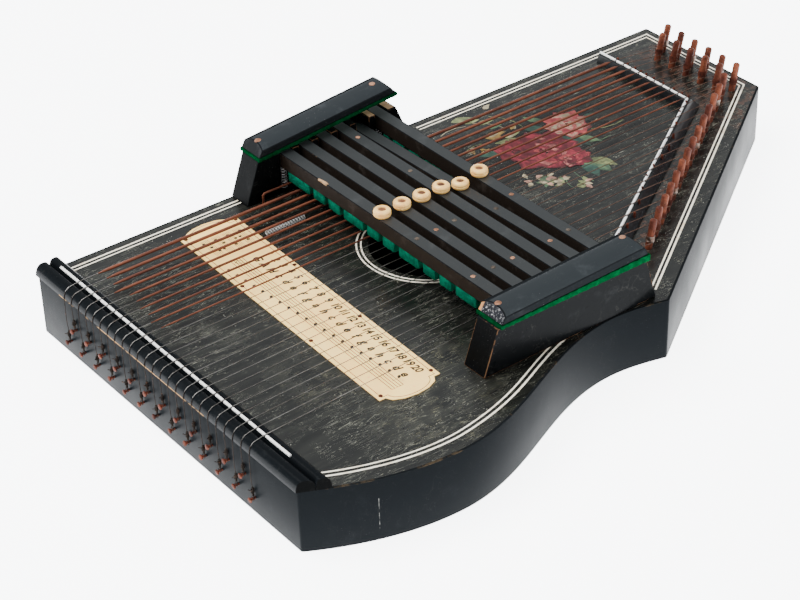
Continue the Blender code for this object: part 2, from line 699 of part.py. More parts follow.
def build_holder(name, root, paint, foot, crown, y_range, opens_low):
    """A block with sloping ends, open at the top, with one slot for each bar's end."""
    base = BODY_HEIGHT + GAP
    profile = [(foot[0], base), (foot[1], base), (crown[1], HOLDER_TOP), (crown[0], HOLDER_TOP)]
    bm = bmesh.new()
    add_bar(bm, profile, *y_range)
    holder = add_object(name, bm, paint["lacquer"], root)
    bm = bmesh.new()
    for number in range(1, BAR_COUNT + 1):
        x = bar_x(number)
        if opens_low:
            reach = (y_range[0] - 0.002, y_range[0] + SLOT_DEPTH)
        else:
            reach = (y_range[1] - SLOT_DEPTH, y_range[1] + 0.002)
        add_box(bm, (x - SLOT_WIDTH / 2, x + SLOT_WIDTH / 2), reach, (SLOT_FLOOR, HOLDER_TOP + 0.002))
    combine(holder, as_tool(add_object(name + "_slot_cutter", bm, None, root)), "DIFFERENCE")


def cover_profile(y_range):
    """Flat underside, low upright edges and a crowned top."""
    middle, half = sum(y_range) / 2, (y_range[1] - y_range[0]) / 2
    profile = [(y_range[1], 0.0)]
    for step in range(9):
        share = 1 - step / 4
        y = middle + half * share
        profile.append((y, COVER_EDGE + (COVER_CROWN - COVER_EDGE) * (1 - abs(share) ** 2.6)))
    profile.append((y_range[0], 0.0))
    return profile


def build_cover(prefix, root, paint, x_range, y_range, lift, felt_swells):
    """A crowned cover with a felt strip under it; the lift raises its far end.

    A strip that swells fills the wedge under the lifted cover; the other follows the cover.
    """
    seat = (x_range[0], 0, HOLDER_TOP + GAP)
    length = x_range[1] - x_range[0]
    low, high = y_range[0] - FELT_OVERHANG, y_range[1] + FELT_OVERHANG
    near, far = -FELT_OVERHANG, length + FELT_OVERHANG
    swelling = length * math.tan(lift) if felt_swells else 0.0
    strip = [(near, 0), (far, 0), (far, COVER_FELT + swelling), (near, COVER_FELT)]
    bm = bmesh.new()
    add_bar(bm, strip, low, high)
    add_object(prefix + "_cover_felt", bm, paint["felt"], root, seat, (0, 0 if felt_swells else -lift, 0))
    bm = bmesh.new()
    lean = COVER_BEVEL / COVER_CROWN
    add_bar(bm, cover_profile(y_range), lambda y, z: z * lean, lambda y, z: length - z * lean, across="x")
    bmesh.ops.translate(bm, verts=bm.verts, vec=(0, 0, COVER_FELT + GAP))
    add_object(prefix + "_holder_cover", bm, paint["lacquer"], root, seat, (0, -lift, 0))


def build_chord_unit(root, paint):
    build_holder("bass_bar_holder", root, paint, BASS_HOLDER_FOOT, BASS_HOLDER_CROWN, BASS_HOLDER_Y, True)
    build_holder("treble_bar_holder", root, paint, TREBLE_HOLDER_FOOT, TREBLE_HOLDER_CROWN,
                 TREBLE_HOLDER_Y, False)
    build_cover("bass", root, paint, BASS_COVER_X, BASS_COVER_Y, BASS_COVER_LIFT, False)
    build_cover("treble", root, paint, TREBLE_COVER_X, TREBLE_COVER_Y, TREBLE_COVER_LIFT, True)
    build_bars(root, paint)

    corner = 0.0016              # the wire's bends are cut in two short steps
    route = [(WIRE_X[0], WIRE_Y, BODY_HEIGHT + GAP), (WIRE_X[0], WIRE_Y, WIRE_LEVEL - corner),
             (WIRE_X[0] + corner / 3, WIRE_Y, WIRE_LEVEL - corner / 3), (WIRE_X[0] + corner, WIRE_Y, WIRE_LEVEL),
             (WIRE_X[1] - corner, WIRE_Y, WIRE_LEVEL), (WIRE_X[1] - corner / 3, WIRE_Y, WIRE_LEVEL - corner / 3),
             (WIRE_X[1], WIRE_Y, WIRE_LEVEL - corner), (WIRE_X[1], WIRE_Y, BODY_HEIGHT + GAP)]
    bm = bmesh.new()
    add_tube(bm, route, [WIRE_RADIUS] * len(route), 6)
    add_object("guard_wire", bm, paint["rusty_wire"], root)


# ------------------------------------------------------------------ card and loose spring
def build_loose_pieces(root, paint):
    half, reach = CARD_SIZE[0] / 2, CARD_SIZE[1] / 2
    neck = half - 0.0040
    arch = []
    for step in range(7):
        angle = math.pi * step / 6
        arch.append((-neck * math.cos(angle), -reach - CARD_ARCH * math.sin(angle)))
    outline = [(-half, -reach)] + arch + [(half, -reach)]
    outline += [(-x, -y) for x, y in outline]
    bm = bmesh.new()
    add_prism(bm, outline, 0, CARD_THICKNESS)
    add_object("scale_card", bm, paint["paper"], root, (*CARD_CENTRE, BODY_HEIGHT + GAP), (0, 0, CARD_TURN))

    seat = (*LOOSE_SPRING_START, BODY_HEIGHT + GAP + SPRING_RADIUS)
    sleeve = [(SPRING_RADIUS - 2 * SPRING_WIRE, 0), (SPRING_RADIUS, 0), (SPRING_RADIUS, LOOSE_SPRING_LENGTH),
              (SPRING_RADIUS - 2 * SPRING_WIRE, LOOSE_SPRING_LENGTH)]
    bm = bmesh.new()
    add_turned(bm, sleeve, 10, closed=True)
    add_object("loose_spring", bm, paint["spring_steel"], root, seat, (0, math.radians(90), 0))


def build():
    clear_scene()
    paint = {name: make_material(name) for name in COLOURS}
    root = bpy.data.objects.new("zither_frame", None)
    bpy.context.scene.collection.objects.link(root)
    root.location = (-CENTRE[0], -CENTRE[1], 0)
    build_body(root, paint)
    build_hitch_rail(root, paint)
    build_strings(root, paint)
    build_bridge(root, paint)
    build_tuning_pins(root, paint)
    build_chord_unit(root, paint)
    build_loose_pieces(root, paint)


build()
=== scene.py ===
"""Looks of a chorded zither: black lacquered box, 25 strings, six felted bars, rusty tuning pins.

Every piece is built in the plan frame: x runs along the strings from the hitch end, y runs from
the treble side to the bass side, z is up from the underside. A piece's object stands at PLAN, so
its own coordinates, which its material also reads, are plan coordinates in metres.
"""

import json
import random
from math import atan2, copysign, cos, pi, radians, sin, tan, tau

import bmesh
import bpy
from mathutils import Matrix, Vector


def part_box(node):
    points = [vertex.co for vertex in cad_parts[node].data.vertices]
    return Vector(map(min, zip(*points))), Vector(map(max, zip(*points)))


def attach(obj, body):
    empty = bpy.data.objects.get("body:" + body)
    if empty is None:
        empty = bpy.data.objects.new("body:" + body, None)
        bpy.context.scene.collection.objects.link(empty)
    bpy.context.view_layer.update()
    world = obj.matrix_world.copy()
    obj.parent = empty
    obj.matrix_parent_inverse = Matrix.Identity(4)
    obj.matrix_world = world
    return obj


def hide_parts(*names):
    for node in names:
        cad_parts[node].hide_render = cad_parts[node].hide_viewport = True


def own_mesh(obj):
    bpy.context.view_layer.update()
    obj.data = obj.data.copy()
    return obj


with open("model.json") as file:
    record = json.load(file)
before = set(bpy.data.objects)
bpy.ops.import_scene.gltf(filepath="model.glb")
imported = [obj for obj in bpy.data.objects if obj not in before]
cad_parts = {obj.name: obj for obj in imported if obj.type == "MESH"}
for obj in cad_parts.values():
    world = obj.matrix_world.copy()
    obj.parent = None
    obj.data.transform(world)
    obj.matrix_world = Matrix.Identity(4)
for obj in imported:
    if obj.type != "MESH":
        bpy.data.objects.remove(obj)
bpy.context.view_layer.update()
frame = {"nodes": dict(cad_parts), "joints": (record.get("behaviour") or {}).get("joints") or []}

# ---- the plan frame
BODY = "zither_body"
BULGE = (0.088, -0.0265)             # widest point of the treble side
HOLLOW = (0.228, 0.0142)             # deepest point of its hollow
WAIST = (0.2655, 0.0075)             # corner between the treble side and the pin side
SIDE_HANDLE = 0.0501                 # level handles of the curve between bulge and hollow
PLAN = Vector((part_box("back_board")[0].x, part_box("back_board")[0].y - BULGE[1], 0.0))


def joint_named(name):
    return next(joint for joint in frame["joints"] if joint["name"] == name)


def plan_box(node):
    """Lowest and highest corner of a CAD node in the plan frame."""
    low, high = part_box(node)
    return low - PLAN, high - PLAN


LENGTH = plan_box("back_board")[1].x
WIDTH = plan_box("bass_side")[1].y
HOLE_CENTRE, HOLE_RADIUS = (0.1982, 0.1438), 0.0365
HOLE_RINGS = (0.0407, 0.0434)
INLAY_WIDTHS = (0.0012, 0.001)       # of the outer and the inner line, as in the next three
INLAY_FROM_BASS = (0.0067, 0.0099)
INLAY_FROM_TOP = (0.0059, 0.0091)
INLAY_FROM_PINS = (0.0101, 0.0127)
INLAY_PIN_START = (0.0085, 0.0115)   # how far from the waist the two lines start
INLAY_START, INLAY_CURVE_END = 0.0172, 0.23
INLAY_STEP = 0.0033                  # between the two lines on the curved side
INLAY_BREAK = (0.139, 0.2768)        # the lines stop at the bass holder and go on behind it
HEIGHT = plan_box("soundboard")[1].z
BOARD = HEIGHT - plan_box("soundboard")[0].z
TOP_END_CORNER = (LENGTH, plan_box("top_side")[0].y)

UP = Vector((0, 0, 1))
BEVEL_ANGLE = radians(32)            # edges sharper than this are rounded

# ---- strings
STRINGS = 25
WOUND = 10
FIRST_AT_ROD = 0.2309
PITCH_AT_ROD = 0.00788
FIRST_AT_BRIDGE = 0.232
PITCH_AT_BRIDGE = 0.0075
STRING_LEVEL = plan_box("pin_bridge_rod")[1].z
PLAIN_RADIUS = 0.00022
WOUND_RADIUS = (0.00104, 0.00052)    # of the first and the last wound string
WINDING_START = 0.0215
WINDING_TAPER = 0.007
ROD_X = 0.0097
ROD_RADIUS = 0.0009
ROD_SPAN = (0.0197, 0.2521)
RAIL_FRONT, RAIL_STEP, RAIL_BACK = -0.0014, 0.008, 0.0156
RAIL_CROWN = HEIGHT + 0.0068
HITCH_ROWS = (0.0105, 0.0222)
WIRE_X = -0.0012                     # the twisted wires hang this far in front of the end face
TWIST = (0.0022, 0.0075)             # foot and top of a twist above its hitch pin
LOOP_HALF, LOOP_WIRE = 0.00115, 0.00028
COIL_WIRE, COIL_TURNS, COIL_RISE = 0.00033, 5.5, 0.0007
BRIDGE_X = 0.427
BRIDGE_CORNER_Y = 0.164
BRIDGE_BASS_Y = 0.248
BRIDGE_TREBLE = (0.252, 0.0513)
BRIDGE_ROD_RADIUS = 0.00085
GUIDE_OFFSET = 0.002
GUIDE_RADIUS = 0.0008
PIN_RADIUS = 0.0022
PIN_HEIGHT = 0.0194
ZIGZAG_PINS = 11
SIDE_MARK = ((0.038, -0.0178), 0.007, 0.028)  # an upright scratch on the curved side
STRING_END = 0.0045                  # height above the board at which a string leaves its pin

BARS = 6
BAR_FELT = 0.007                     # height of the damper felts
FELT_LOW, FELT_TOP, FELT_TOP_DROPPED = 0.0385, 0.24, 0.09
DROPPED_BAR = 5
BAR_NAILS = {1: (0.116, 0.065), 2: (0.1168, 0.065), 3: (0.118, 0.0656), 4: (0.2317, 0.179),
             5: (0.1155, 0.067), 6: (0.119, 0.0677)}    # where along each bar its nails are
BAR_NAIL_RADIUS, TACK_RADIUS, COVER_NAIL_RADIUS = 0.0016, 0.0013, 0.0021
SPRING_FOOT = HEIGHT + 0.0026
SPRING_PLACES = {"treble": (0.0, 0.03), "bass": (-0.0021, 0.2476)}
SPRING_RADIUS, SPRING_WIRE, SPRING_TURNS = 0.0019, 0.00024, 8.5
LOOSE_RADIUS, LOOSE_WIRE, LOOSE_TURNS = 0.00206, 0.00034, 15
BUTTON_Y = 0.149
BUTTON_RADIUS = 0.0054
BUTTON_HEIGHT = 0.0048

HOLDER_FEET = {"bass": ((0.1373, 0.265), (0.1475, 0.253)),        # x at the foot, x at the top
               "treble": ((0.1355, 0.2622), (0.1455, 0.254))}
SLOT_WIDTH, SLOT_DEPTH, SLOT_FLOOR = 0.0096, 0.0122, HEIGHT + 0.0023
COVER_X = {"bass": (0.1478, 0.2526), "treble": (0.147, 0.254)}
COVER_Y = {"bass": (0.245, 0.2646), "treble": (0.0138, 0.0346)}
COVER_NAILS = {"bass": ((0.154, 0.254), (0.242, 0.2545)), "treble": ((0.1534, 0.0245), (0.2467, 0.0277))}
BASS_COVER_LIFT, TREBLE_COVER_LIFT = radians(5), radians(1.7)
FELT_THICK, FELT_OVERHANG = 0.0021, 0.0007
COVER_EDGE, COVER_CROWN, COVER_BEVEL = 0.0042, 0.0068, 0.0045

CARD_CENTRE = (0.1022, 0.1372)
CARD_SIZE = (0.0407, 0.2046)
BORDER_INSET = 0.0026
TACKS = ((0.0852, 0.1754), (0.1218, 0.1745), (0.0837, 0.105), (0.1193, 0.1069), (0.0823, 0.0385),
         (0.1179, 0.0398), (0.0875, 0.2388), (0.1236, 0.2387))
CARD_TURN = radians(-1.45)
CARD_TOP = plan_box("scale_card")[1].z
PRINT = (CARD_TOP - 0.00005, CARD_TOP + 0.00005)  # levels of the printed lines
NOTE_LEVELS = (CARD_TOP - 0.00005, CARD_TOP + 0.00006)
STAVE_ENDS = (0.064, -0.0983)
STAVE_LOW, STAVE_GAP = -0.0091, 0.0019
STAVE_LINE, BORDER_LINE, THIN_LINE = 0.00036, 0.00034, 0.00018
SMALL_GAP = 0.0011                   # between the lines of the four small staves
STEPS_ON_CARD, STEP_PITCH, FIRST_STEP = 20, 0.007784, 0.057
LETTER_SIZE, LETTER_ROW = 0.0074, 0.0048
NUMBER_SIZE, NUMBER_ROW = 0.0067, 0.013


# ---- camera and light
CAMERA_PLACE = (-0.50426, -0.77467, 0.77727)
CAMERA_AZIMUTH, CAMERA_DOWN, CAMERA_ROLL = (radians(a) for a in (53.502, 33.934, -1.843))
CAMERA_LENS = 103.57
SENSOR_WIDTH = 36.0
WORLD_STRENGTH = 0.75
SOFT_LIGHTS = (("key", (-0.7, 0.5, 1.7), 1.3, 62), ("fill", (0.9, -1.2, 1.5), 1.6, 18))
FLOOR_HALF = 6
FLOOR_LEVELS = (-0.02, -0.0002)
FLOOR_GLOW = 6.5


def add_camera():
    data = bpy.data.cameras.new("camera")
    data.lens = CAMERA_LENS
    data.sensor_width = SENSOR_WIDTH
    data.clip_start, data.clip_end = 0.05, 20
    item = bpy.data.objects.new("camera", data)
    bpy.context.scene.collection.objects.link(item)
    level = cos(CAMERA_DOWN)
    look = Vector((level * cos(CAMERA_AZIMUTH), level * sin(CAMERA_AZIMUTH),
                   -sin(CAMERA_DOWN)))
    side = look.cross(UP).normalized()
    rise = side.cross(look)
    right = cos(CAMERA_ROLL) * side + sin(CAMERA_ROLL) * rise
    up = cos(CAMERA_ROLL) * rise - sin(CAMERA_ROLL) * side
    place = Matrix((right, up, -look)).transposed().to_4x4()
    place.translation = Vector(CAMERA_PLACE) + PLAN
    item.matrix_world = place
    bpy.context.scene.camera = item


def add_studio():
    """A pale world, two large soft lights that face the object, and a pale floor."""
    world = bpy.data.worlds.new("studio")
    world.use_nodes = True
    background = world.node_tree.nodes["Background"]
    background.inputs["Color"].default_value = (0.93, 0.97, 1, 1)
    background.inputs["Strength"].default_value = WORLD_STRENGTH
    bpy.context.scene.world = world
    for name, place, size, power in SOFT_LIGHTS:
        data = bpy.data.lights.new(name, "AREA")
        data.shape = "DISK"
        data.size = size
        data.energy = power
        item = bpy.data.objects.new(name, data)
        bpy.context.scene.collection.objects.link(item)
        item.location = place
        item.rotation_mode = "QUATERNION"
        item.rotation_quaternion = (-Vector(place)).to_track_quat("-Z", "Y")
    bm = bmesh.new()
    block(bm, (-FLOOR_HALF, FLOOR_HALF), (-FLOOR_HALF, FLOOR_HALF), FLOOR_LEVELS)
    floor = new_object("floor", bm)
    paint = Paint("pale_floor", 0.1, (0.9, 0.905, 0.91), roughness=0.9)
    paint.layer(paint.noise(3, 2), (0.93, 0.935, 0.94))
    paint.glow((0.97, 0.985, 1), FLOOR_GLOW)
    floor.data.materials.append(paint.done())


# ---- materials
class Value:
    """A node's output; * + - work on it, | takes the larger of two, and abs() its size."""

    def __init__(self, tree, socket):
        self.tree, self.socket = tree, socket

    def maths(self, operation, other=0.0):
        return add_node(self.tree, "Math", {0: self, 1: other}, operation=operation)

    def __mul__(self, other):
        return self.maths("MULTIPLY", other)

    def __add__(self, other):
        return self.maths("ADD", other)

    def __sub__(self, other):
        return self.maths("SUBTRACT", other)

    def __rsub__(self, other):
        return add_node(self.tree, "Math", {0: other, 1: self}, operation="SUBTRACT")

    def __or__(self, other):
        return self.maths("MAXIMUM", other)

    def __abs__(self):
        return self.maths("ABSOLUTE")

    def band(self, low, high):
        """0 below low, 1 above high, smooth between; low may be the larger one."""
        return add_node(self.tree, "MapRange", {"Value": self, "From Min": low, "From Max": high},
                        interpolation_type="SMOOTHSTEP")


def add_node(tree, kind, inputs, output=0, **settings):
    """Make a node from its settings and inputs, and give back one of its outputs."""
    made = tree.nodes.new("ShaderNode" + kind)
    for name, value in settings.items():
        setattr(made, name, value)
    for key, value in inputs.items():
        feed(tree, made.inputs[key], value)
    return Value(tree, made.outputs[output])


def feed(tree, socket, value):
    if isinstance(value, Value):
        tree.links.new(value.socket, socket)
    elif isinstance(value, tuple) and socket.type == "RGBA":
        socket.default_value = (*value, 1.0)
    else:
        socket.default_value = value


def dim(colour, share):
    return tuple(share * part for part in colour)


class Paint:
    """One node material: layers of colour over each other, bumps, and a roughness."""

    def __init__(self, name, specular, colour, metallic=0.0, roughness=0.5):
        self.material = bpy.data.materials.new(name)
        self.material.use_nodes = True
        self.tree = self.material.node_tree
        self.shader = self.tree.nodes["Principled BSDF"].inputs
        self.shader["Specular IOR Level"].default_value = specular
        self.shader["Metallic"].default_value = metallic
        self.shader["Roughness"].default_value = roughness
        self.place = self.node("TexCoord", {}, "Object")
        self.colour, self.normal = colour, None

    def node(self, kind, inputs, output=0, **settings):
        return add_node(self.tree, kind, inputs, output, **settings)

    def noise(self, scale, detail=3, roughness=0.55, stretch=(1, 1, 1), turn=0.0):
        place = self.place
        if stretch != (1, 1, 1) or turn:
            place = self.node("Mapping", {"Vector": place, "Rotation": (0, 0, turn), "Scale": stretch})
        return self.node("TexNoise", {"Vector": place, "Scale": scale, "Detail": detail,
                                      "Roughness": roughness})

    def cells(self, scale):
        return self.node("TexVoronoi", {"Vector": self.place, "Scale": scale}, "Distance")

    def axis(self, name):
        return self.node("SeparateXYZ", {"Vector": self.place}, name)

    def near(self, centre, reach):
        """1 at a plan point, fading to 0 at a distance."""
        flat = self.node("Mapping", {"Vector": self.place, "Location": (-centre[0], -centre[1], 0),
                                     "Scale": (1, 1, 0)})
        return self.node("VectorMath", {0: flat}, "Value", operation="LENGTH").band(reach, 0)

    def mix(self, share, a, b):
        return self.node("Mix", {0: share, 6: a, 7: b}, 2, data_type="RGBA")

    def layer(self, share, colour):
        """Lay a colour over the ones so far, by a share that varies."""
        self.colour = self.mix(share, self.colour, colour)

    def scratches(self, scale, turn, width, length=9):
        """Thin broken lines: where a stretched noise crosses its middle value."""
        lines = self.noise(scale, 2, 0.5, (1, length, 1), turn)
        broken = self.noise(scale * 0.6, 2, 0.6, (1.3, 1, 1), turn + 1).band(0.5, 0.6)
        return abs(lines - 0.5).band(width, 0) * broken

    def bump(self, height, depth, strength):
        inputs = {"Height": height, "Distance": depth, "Strength": strength}
        if self.normal:
            inputs["Normal"] = self.normal
        self.normal = self.node("Bump", inputs)

    def glow(self, colour, strength):
        """A little light of the surface's own."""
        self.shader["Emission Color"].default_value = (*colour, 1)
        self.shader["Emission Strength"].default_value = strength

    def done(self, roughness=None):
        feed(self.tree, self.shader["Base Color"], self.colour)
        if roughness:
            feed(self.tree, self.shader["Roughness"], roughness)
        if self.normal:
            feed(self.tree, self.shader["Normal"], self.normal)
        return self.material


def lacquer(name, gloss, specular, tint, dust, wear, scratched, mark=None):
    """Old black lacquer: uneven gloss, brownish thin patches, dust and hairline scratches."""
    paint = Paint(name, specular, tint)
    thin = paint.noise(60, 4, 0.7).band(0.55, 0.75)
    paint.layer(thin * wear, tuple(2.2 * part + 0.012 for part in tint))
    lines = paint.scratches(70, 0.5, 0.008) | paint.scratches(95, 2.1, 0.007)
    paint.layer(lines * scratched, (0.2, 0.19, 0.17))
    specks = paint.cells(520).band(0.13, 0.05) * paint.noise(45, 2).band(0.52, 0.62)
    paint.layer(specks * dust, (0.42, 0.42, 0.4))
    if mark:
        spot, low, high = mark
        height = paint.axis("Z")
        line = height.band(low, low + 0.001) * height.band(high, high - 0.001)
        line = line * paint.near(spot, 0.0003) * paint.noise(300).band(0.4, 0.6)
        paint.layer(line * 0.6, (0.3, 0.3, 0.28))
    paint.bump(paint.noise(240, 3, 0.6), 0.00003, 0.5)
    paint.bump(lines, -0.00003, 0.3)
    return paint.done(paint.noise(22, 4, 0.6) * 0.28 + (gloss - 0.1) + specks * 0.3)


def board_lacquer():
    """The soundboard's finish: grain, worn yellowish scratches, dust between the strings."""
    paint = Paint("board_lacquer", 0.44, (0.004, 0.0043, 0.0037))
    grain = paint.noise(260, 3, 0.6, (0.08, 1, 1))
    mottle = paint.noise(150, 4, 0.72, (0.55, 1, 1))
    paint.layer(grain.band(0.35, 0.75), (0.014, 0.0145, 0.0118))
    paint.layer(mottle.band(0.54, 0.72) * 0.1, (0.052, 0.051, 0.038))
    fine = (paint.scratches(60, 0.35, 0.006) | paint.scratches(85, 1.25, 0.006)
            | paint.scratches(48, 2.45, 0.006) | paint.scratches(30, 0.9, 0.005, 7)
            | paint.scratches(26, 2.6, 0.005, 7))
    paint.layer(fine * 0.6, (0.27, 0.27, 0.21))
    worn_places = (paint.near((0.128, 0.034), 0.042) | paint.near((0.1, 0.012), 0.055)
                   | paint.near((0.068, 0.075), 0.045) * 0.8)
    dense = (paint.scratches(60, 0.55, 0.01) | paint.scratches(72, 2.35, 0.01)
             | paint.scratches(50, 1.5, 0.009, 8)) * worn_places
    paint.layer(dense * 0.6, (0.34, 0.32, 0.2))
    haze = worn_places * paint.noise(70, 4, 0.7).band(0.42, 0.7)
    paint.layer(haze * 0.12, (0.06, 0.06, 0.042))
    specks = paint.cells(330).band(0.12, 0.05) * paint.noise(38, 2).band(0.5, 0.6)
    paint.layer(specks * 0.75, (0.5, 0.49, 0.42))
    x, y = paint.axis("X"), paint.axis("Y")
    slant = x + (0.171 - y) * 1.535
    by_the_pins = x.band(0.43, 0.438) | slant.band(0.436, 0.444) * slant.band(0.482, 0.456)
    rusty = paint.noise(190, 3, 0.7).band(0.5, 0.62) * (by_the_pins * y.band(0.247, 0.238))
    paint.layer(rusty * 0.45, (0.1, 0.045, 0.028))
    paint.bump(grain, 0.00006, 0.5)
    paint.bump(mottle, 0.00006, 0.5)
    paint.bump(fine | dense, -0.00006, 0.6)
    return paint.done(paint.noise(28, 4, 0.65) * 0.2 + 0.16 + haze * 0.25)


def worn_edge(name, share, timber, specular):
    """A rubbed lacquer edge, showing bare wood over a share of its length."""
    paint = Paint(name, specular, (0.008, 0.009, 0.01))
    where = paint.noise(26, 3, 0.6) * 0.75 + paint.noise(320, 4, 0.7) * 0.25
    bare = where.band(0.6 - 0.25 * share, 0.66 - 0.25 * share)
    paint.layer(bare, paint.mix(paint.noise(500, 3, 0.6, (0.2, 1, 1)), dim(timber, 0.6), timber))
    paint.bump(bare, -0.0001, 0.6)
    return paint.done(bare * 0.1 + 0.7)


def wood(name, light, dark):
    paint = Paint(name, 0.3, light)
    grain = paint.noise(220, 4, 0.65, (0.1, 1, 1))
    paint.layer(grain.band(0.35, 0.68), dark)
    paint.layer(paint.noise(660, 3, 0.6, (0.05, 1, 1)) * 0.4, dark)
    paint.bump(grain, 0.0001, 0.6)
    return paint.done(grain * 0.2 + 0.55)


def rust(name, light, dark, metallic, specular):
    """Rusty steel: two browns, dark pits, a few lighter flecks."""
    paint = Paint(name, specular, light, metallic)
    pits = paint.noise(924, 4, 0.7)
    paint.layer(paint.noise(147, 4, 0.65).band(0.35, 0.65), dark)
    paint.layer(pits.band(0.52, 0.68) * 0.7, dim(dark, 0.4))
    paint.layer(paint.noise(462, 3, 0.6).band(0.66, 0.74) * 0.5, (0.42, 0.22, 0.13))
    paint.bump(pits, 0.00012, 0.8)
    return paint.done(pits * 0.4 + 0.38)


def copper_winding():
    """Fine copper wire wound closely round a string's steel core."""
    paint = Paint("copper_winding", 0.3, (0.215, 0.066, 0.033), 0.35)
    ridge = abs((paint.axis("X") * 2600).maths("FRACT") - 0.5)
    tarnish = paint.noise(90, 4, 0.7, (0.35, 3, 1))
    paint.layer(tarnish.band(0.3, 0.7), (0.08, 0.023, 0.013))
    paint.layer(ridge.band(0.3, 0.5) * 0.55, (0.07, 0.025, 0.016))
    paint.bump(ridge, -0.00012, 0.7)
    return paint.done(tarnish * 0.3 + 0.34)


def steel(name, bright, dull, roughness, metallic, spots, specular=0.5):
    paint = Paint(name, specular, bright, metallic)
    film = paint.noise(60, 4, 0.65, (0.5, 4, 4))
    paint.layer(film.band(0.38, 0.66), dull)
    paint.layer(paint.noise(700, 3, 0.65).band(0.6, 0.68) * spots, (0.16, 0.07, 0.035))
    paint.bump(paint.noise(1500), 0.00002, 0.5)
    return paint.done(film * 0.2 + (roughness - 0.08))


def felt(name, colour, pale):
    """Pressed wool: matted fibres and a little lint."""
    paint = Paint(name, 0.0, dim(colour, 0.55), roughness=0.95)
    fibres = paint.noise(1100, 4, 0.75, (1, 1, 0.6))
    clumps = paint.noise(240, 3, 0.6)
    paint.layer(clumps.band(0.35, 0.7), colour)
    paint.layer(fibres.band(0.55, 0.75) * 0.5, pale)
    paint.bump(fibres, 0.0004, 0.9)
    paint.bump(clumps, 0.0006, 0.6)
    return paint.done()


def celluloid(name, first, pitch):
    """The white rods: slightly yellowed and dirty, with a dent under each string whose dark band is a
    painted shadow of the string.
    """
    paint = Paint(name, 0.5, (0.97, 0.96, 0.93))
    dirt = paint.noise(160, 4, 0.7).band(0.58, 0.78)
    paint.layer(dirt * 0.5, (0.62, 0.53, 0.42))
    steps = (first - paint.axis("Y")).maths("DIVIDE", pitch)
    inside = steps.band(-0.4, -0.3) * steps.band(STRINGS - 0.6, STRINGS - 0.7)
    # Under each string: a real dent, darkened as a painted shadow of the string.
    groove = abs((steps + 0.5).maths("FRACT") - 0.5).band(0.08, 0.045) * inside
    paint.layer(groove, (0.035, 0.03, 0.026))
    paint.bump(groove, -0.0002, 0.8)
    paint.bump(paint.noise(900, 2), 0.00001, 0.4)
    return paint.done(dirt * 0.3 + 0.3)


def purfling_white():
    paint = Paint("purfling_white", 0.5, (1, 0.92, 0.76))
    dirt = paint.noise(75, 5, 0.72)
    fine = paint.noise(420, 3, 0.7)
    paint.layer(dirt.band(0.48, 0.76), (0.68, 0.5, 0.3))
    paint.layer(fine.band(0.62, 0.74) * 0.55, (0.2, 0.15, 0.1))
    paint.bump(fine, 0.00004, 0.6)
    return paint.done(dirt * 0.25 + 0.35)


def ivory():
    paint = Paint("ivory_button", 0.5, (1, 0.64, 0.2))
    cloud = paint.noise(190, 4, 0.6)
    fine = paint.noise(900, 3, 0.65)
    paint.layer(cloud.band(0.35, 0.7), (0.84, 0.43, 0.12))
    paint.layer(fine.band(0.6, 0.75) * 0.4, (0.4, 0.27, 0.16))
    # Painted light: the buttons glow a little of their own, so they look brighter than the lamps make them.
    paint.glow((1, 0.62, 0.22), 0.16)
    paint.bump(fine, 0.00004, 0.5)
    return paint.done(cloud * 0.2 + 0.28)


def paper():
    paint = Paint("card_paper", 0.2, (1, 0.68, 0.22))
    fibre = paint.noise(650, 4, 0.7)
    paint.layer(paint.noise(42, 5, 0.65).band(0.35, 0.72), (0.93, 0.56, 0.16))
    paint.layer(fibre.band(0.55, 0.75) * 0.35, (0.66, 0.42, 0.2))
    paint.layer(paint.noise(230, 3, 0.6).band(0.66, 0.72) * 0.6, (0.38, 0.22, 0.12))
    # Painted light: the card glows a little of its own, so it looks brighter than the lamps make it.
    paint.glow((1, 0.7, 0.3), 0.52)
    paint.bump(fibre, 0.00004, 0.5)
    return paint.done(fibre * 0.2 + 0.7)


def ink():
    paint = Paint("card_ink", 0.2, (0.01, 0.008, 0.007))
    fade = paint.noise(520, 4, 0.7)
    paint.layer(fade.band(0.35, 0.75), (0.075, 0.05, 0.032))
    return paint.done(fade * 0.2 + 0.65)


def faded(name, light, dark):
    """A transfer-print colour: painterly strokes, worn through to the black in places."""
    paint = Paint(name, 0.4, dark)
    stroke = paint.noise(260, 4, 0.7, (1, 0.5, 1), 0.6)
    through = paint.noise(170, 5, 0.75, (0.4, 1, 1))
    paint.layer(stroke.band(0.36, 0.66), light)
    paint.layer(through.band(0.5, 0.68) * 0.75, (0.022, 0.021, 0.019))
    paint.bump(stroke, 0.00003, 0.5)
    return paint.done(through * 0.25 + 0.3)


def scuffed_end():
    """The treble cover's near end: knocked, with white specks and one orange chip."""
    paint = Paint("treble_cover_end", 0.1, (0.012, 0.013, 0.017))
    specks = paint.noise(620, 4, 0.8).band(0.53, 0.62)
    flakes = paint.noise(300, 3, 0.7).band(0.52, 0.6)
    paint.layer(specks * (flakes * 0.6 + 0.35), (0.62, 0.62, 0.63))
    paint.layer(paint.axis("Y").band(0.0318, 0.0326), (0.5, 0.24, 0.1))
    paint.bump(specks, 0.0002, 0.8)
    return paint.done(specks * 0.4 + 0.35)


# ---- mesh helpers
def circle(sides):
    """Points of a unit circle."""
    return [(cos(t), sin(t)) for t in (2 * pi * step / sides for step in range(sides))]


def prism(bm, outline, low, high, slot=0):
    bottom = [bm.verts.new((x, y, low)) for x, y in outline]
    top = [bm.verts.new((x, y, high)) for x, y in outline]
    faces = [bm.faces.new(bottom[::-1]), bm.faces.new(top)]
    for a in range(len(outline)):
        b = (a + 1) % len(outline)
        faces.append(bm.faces.new((bottom[a], bottom[b], top[b], top[a])))
    for face in faces:
        face.material_index = slot


def block(bm, x, y, z):
    prism(bm, [(x[0], y[0]), (x[1], y[0]), (x[1], y[1]), (x[0], y[1])], *z)


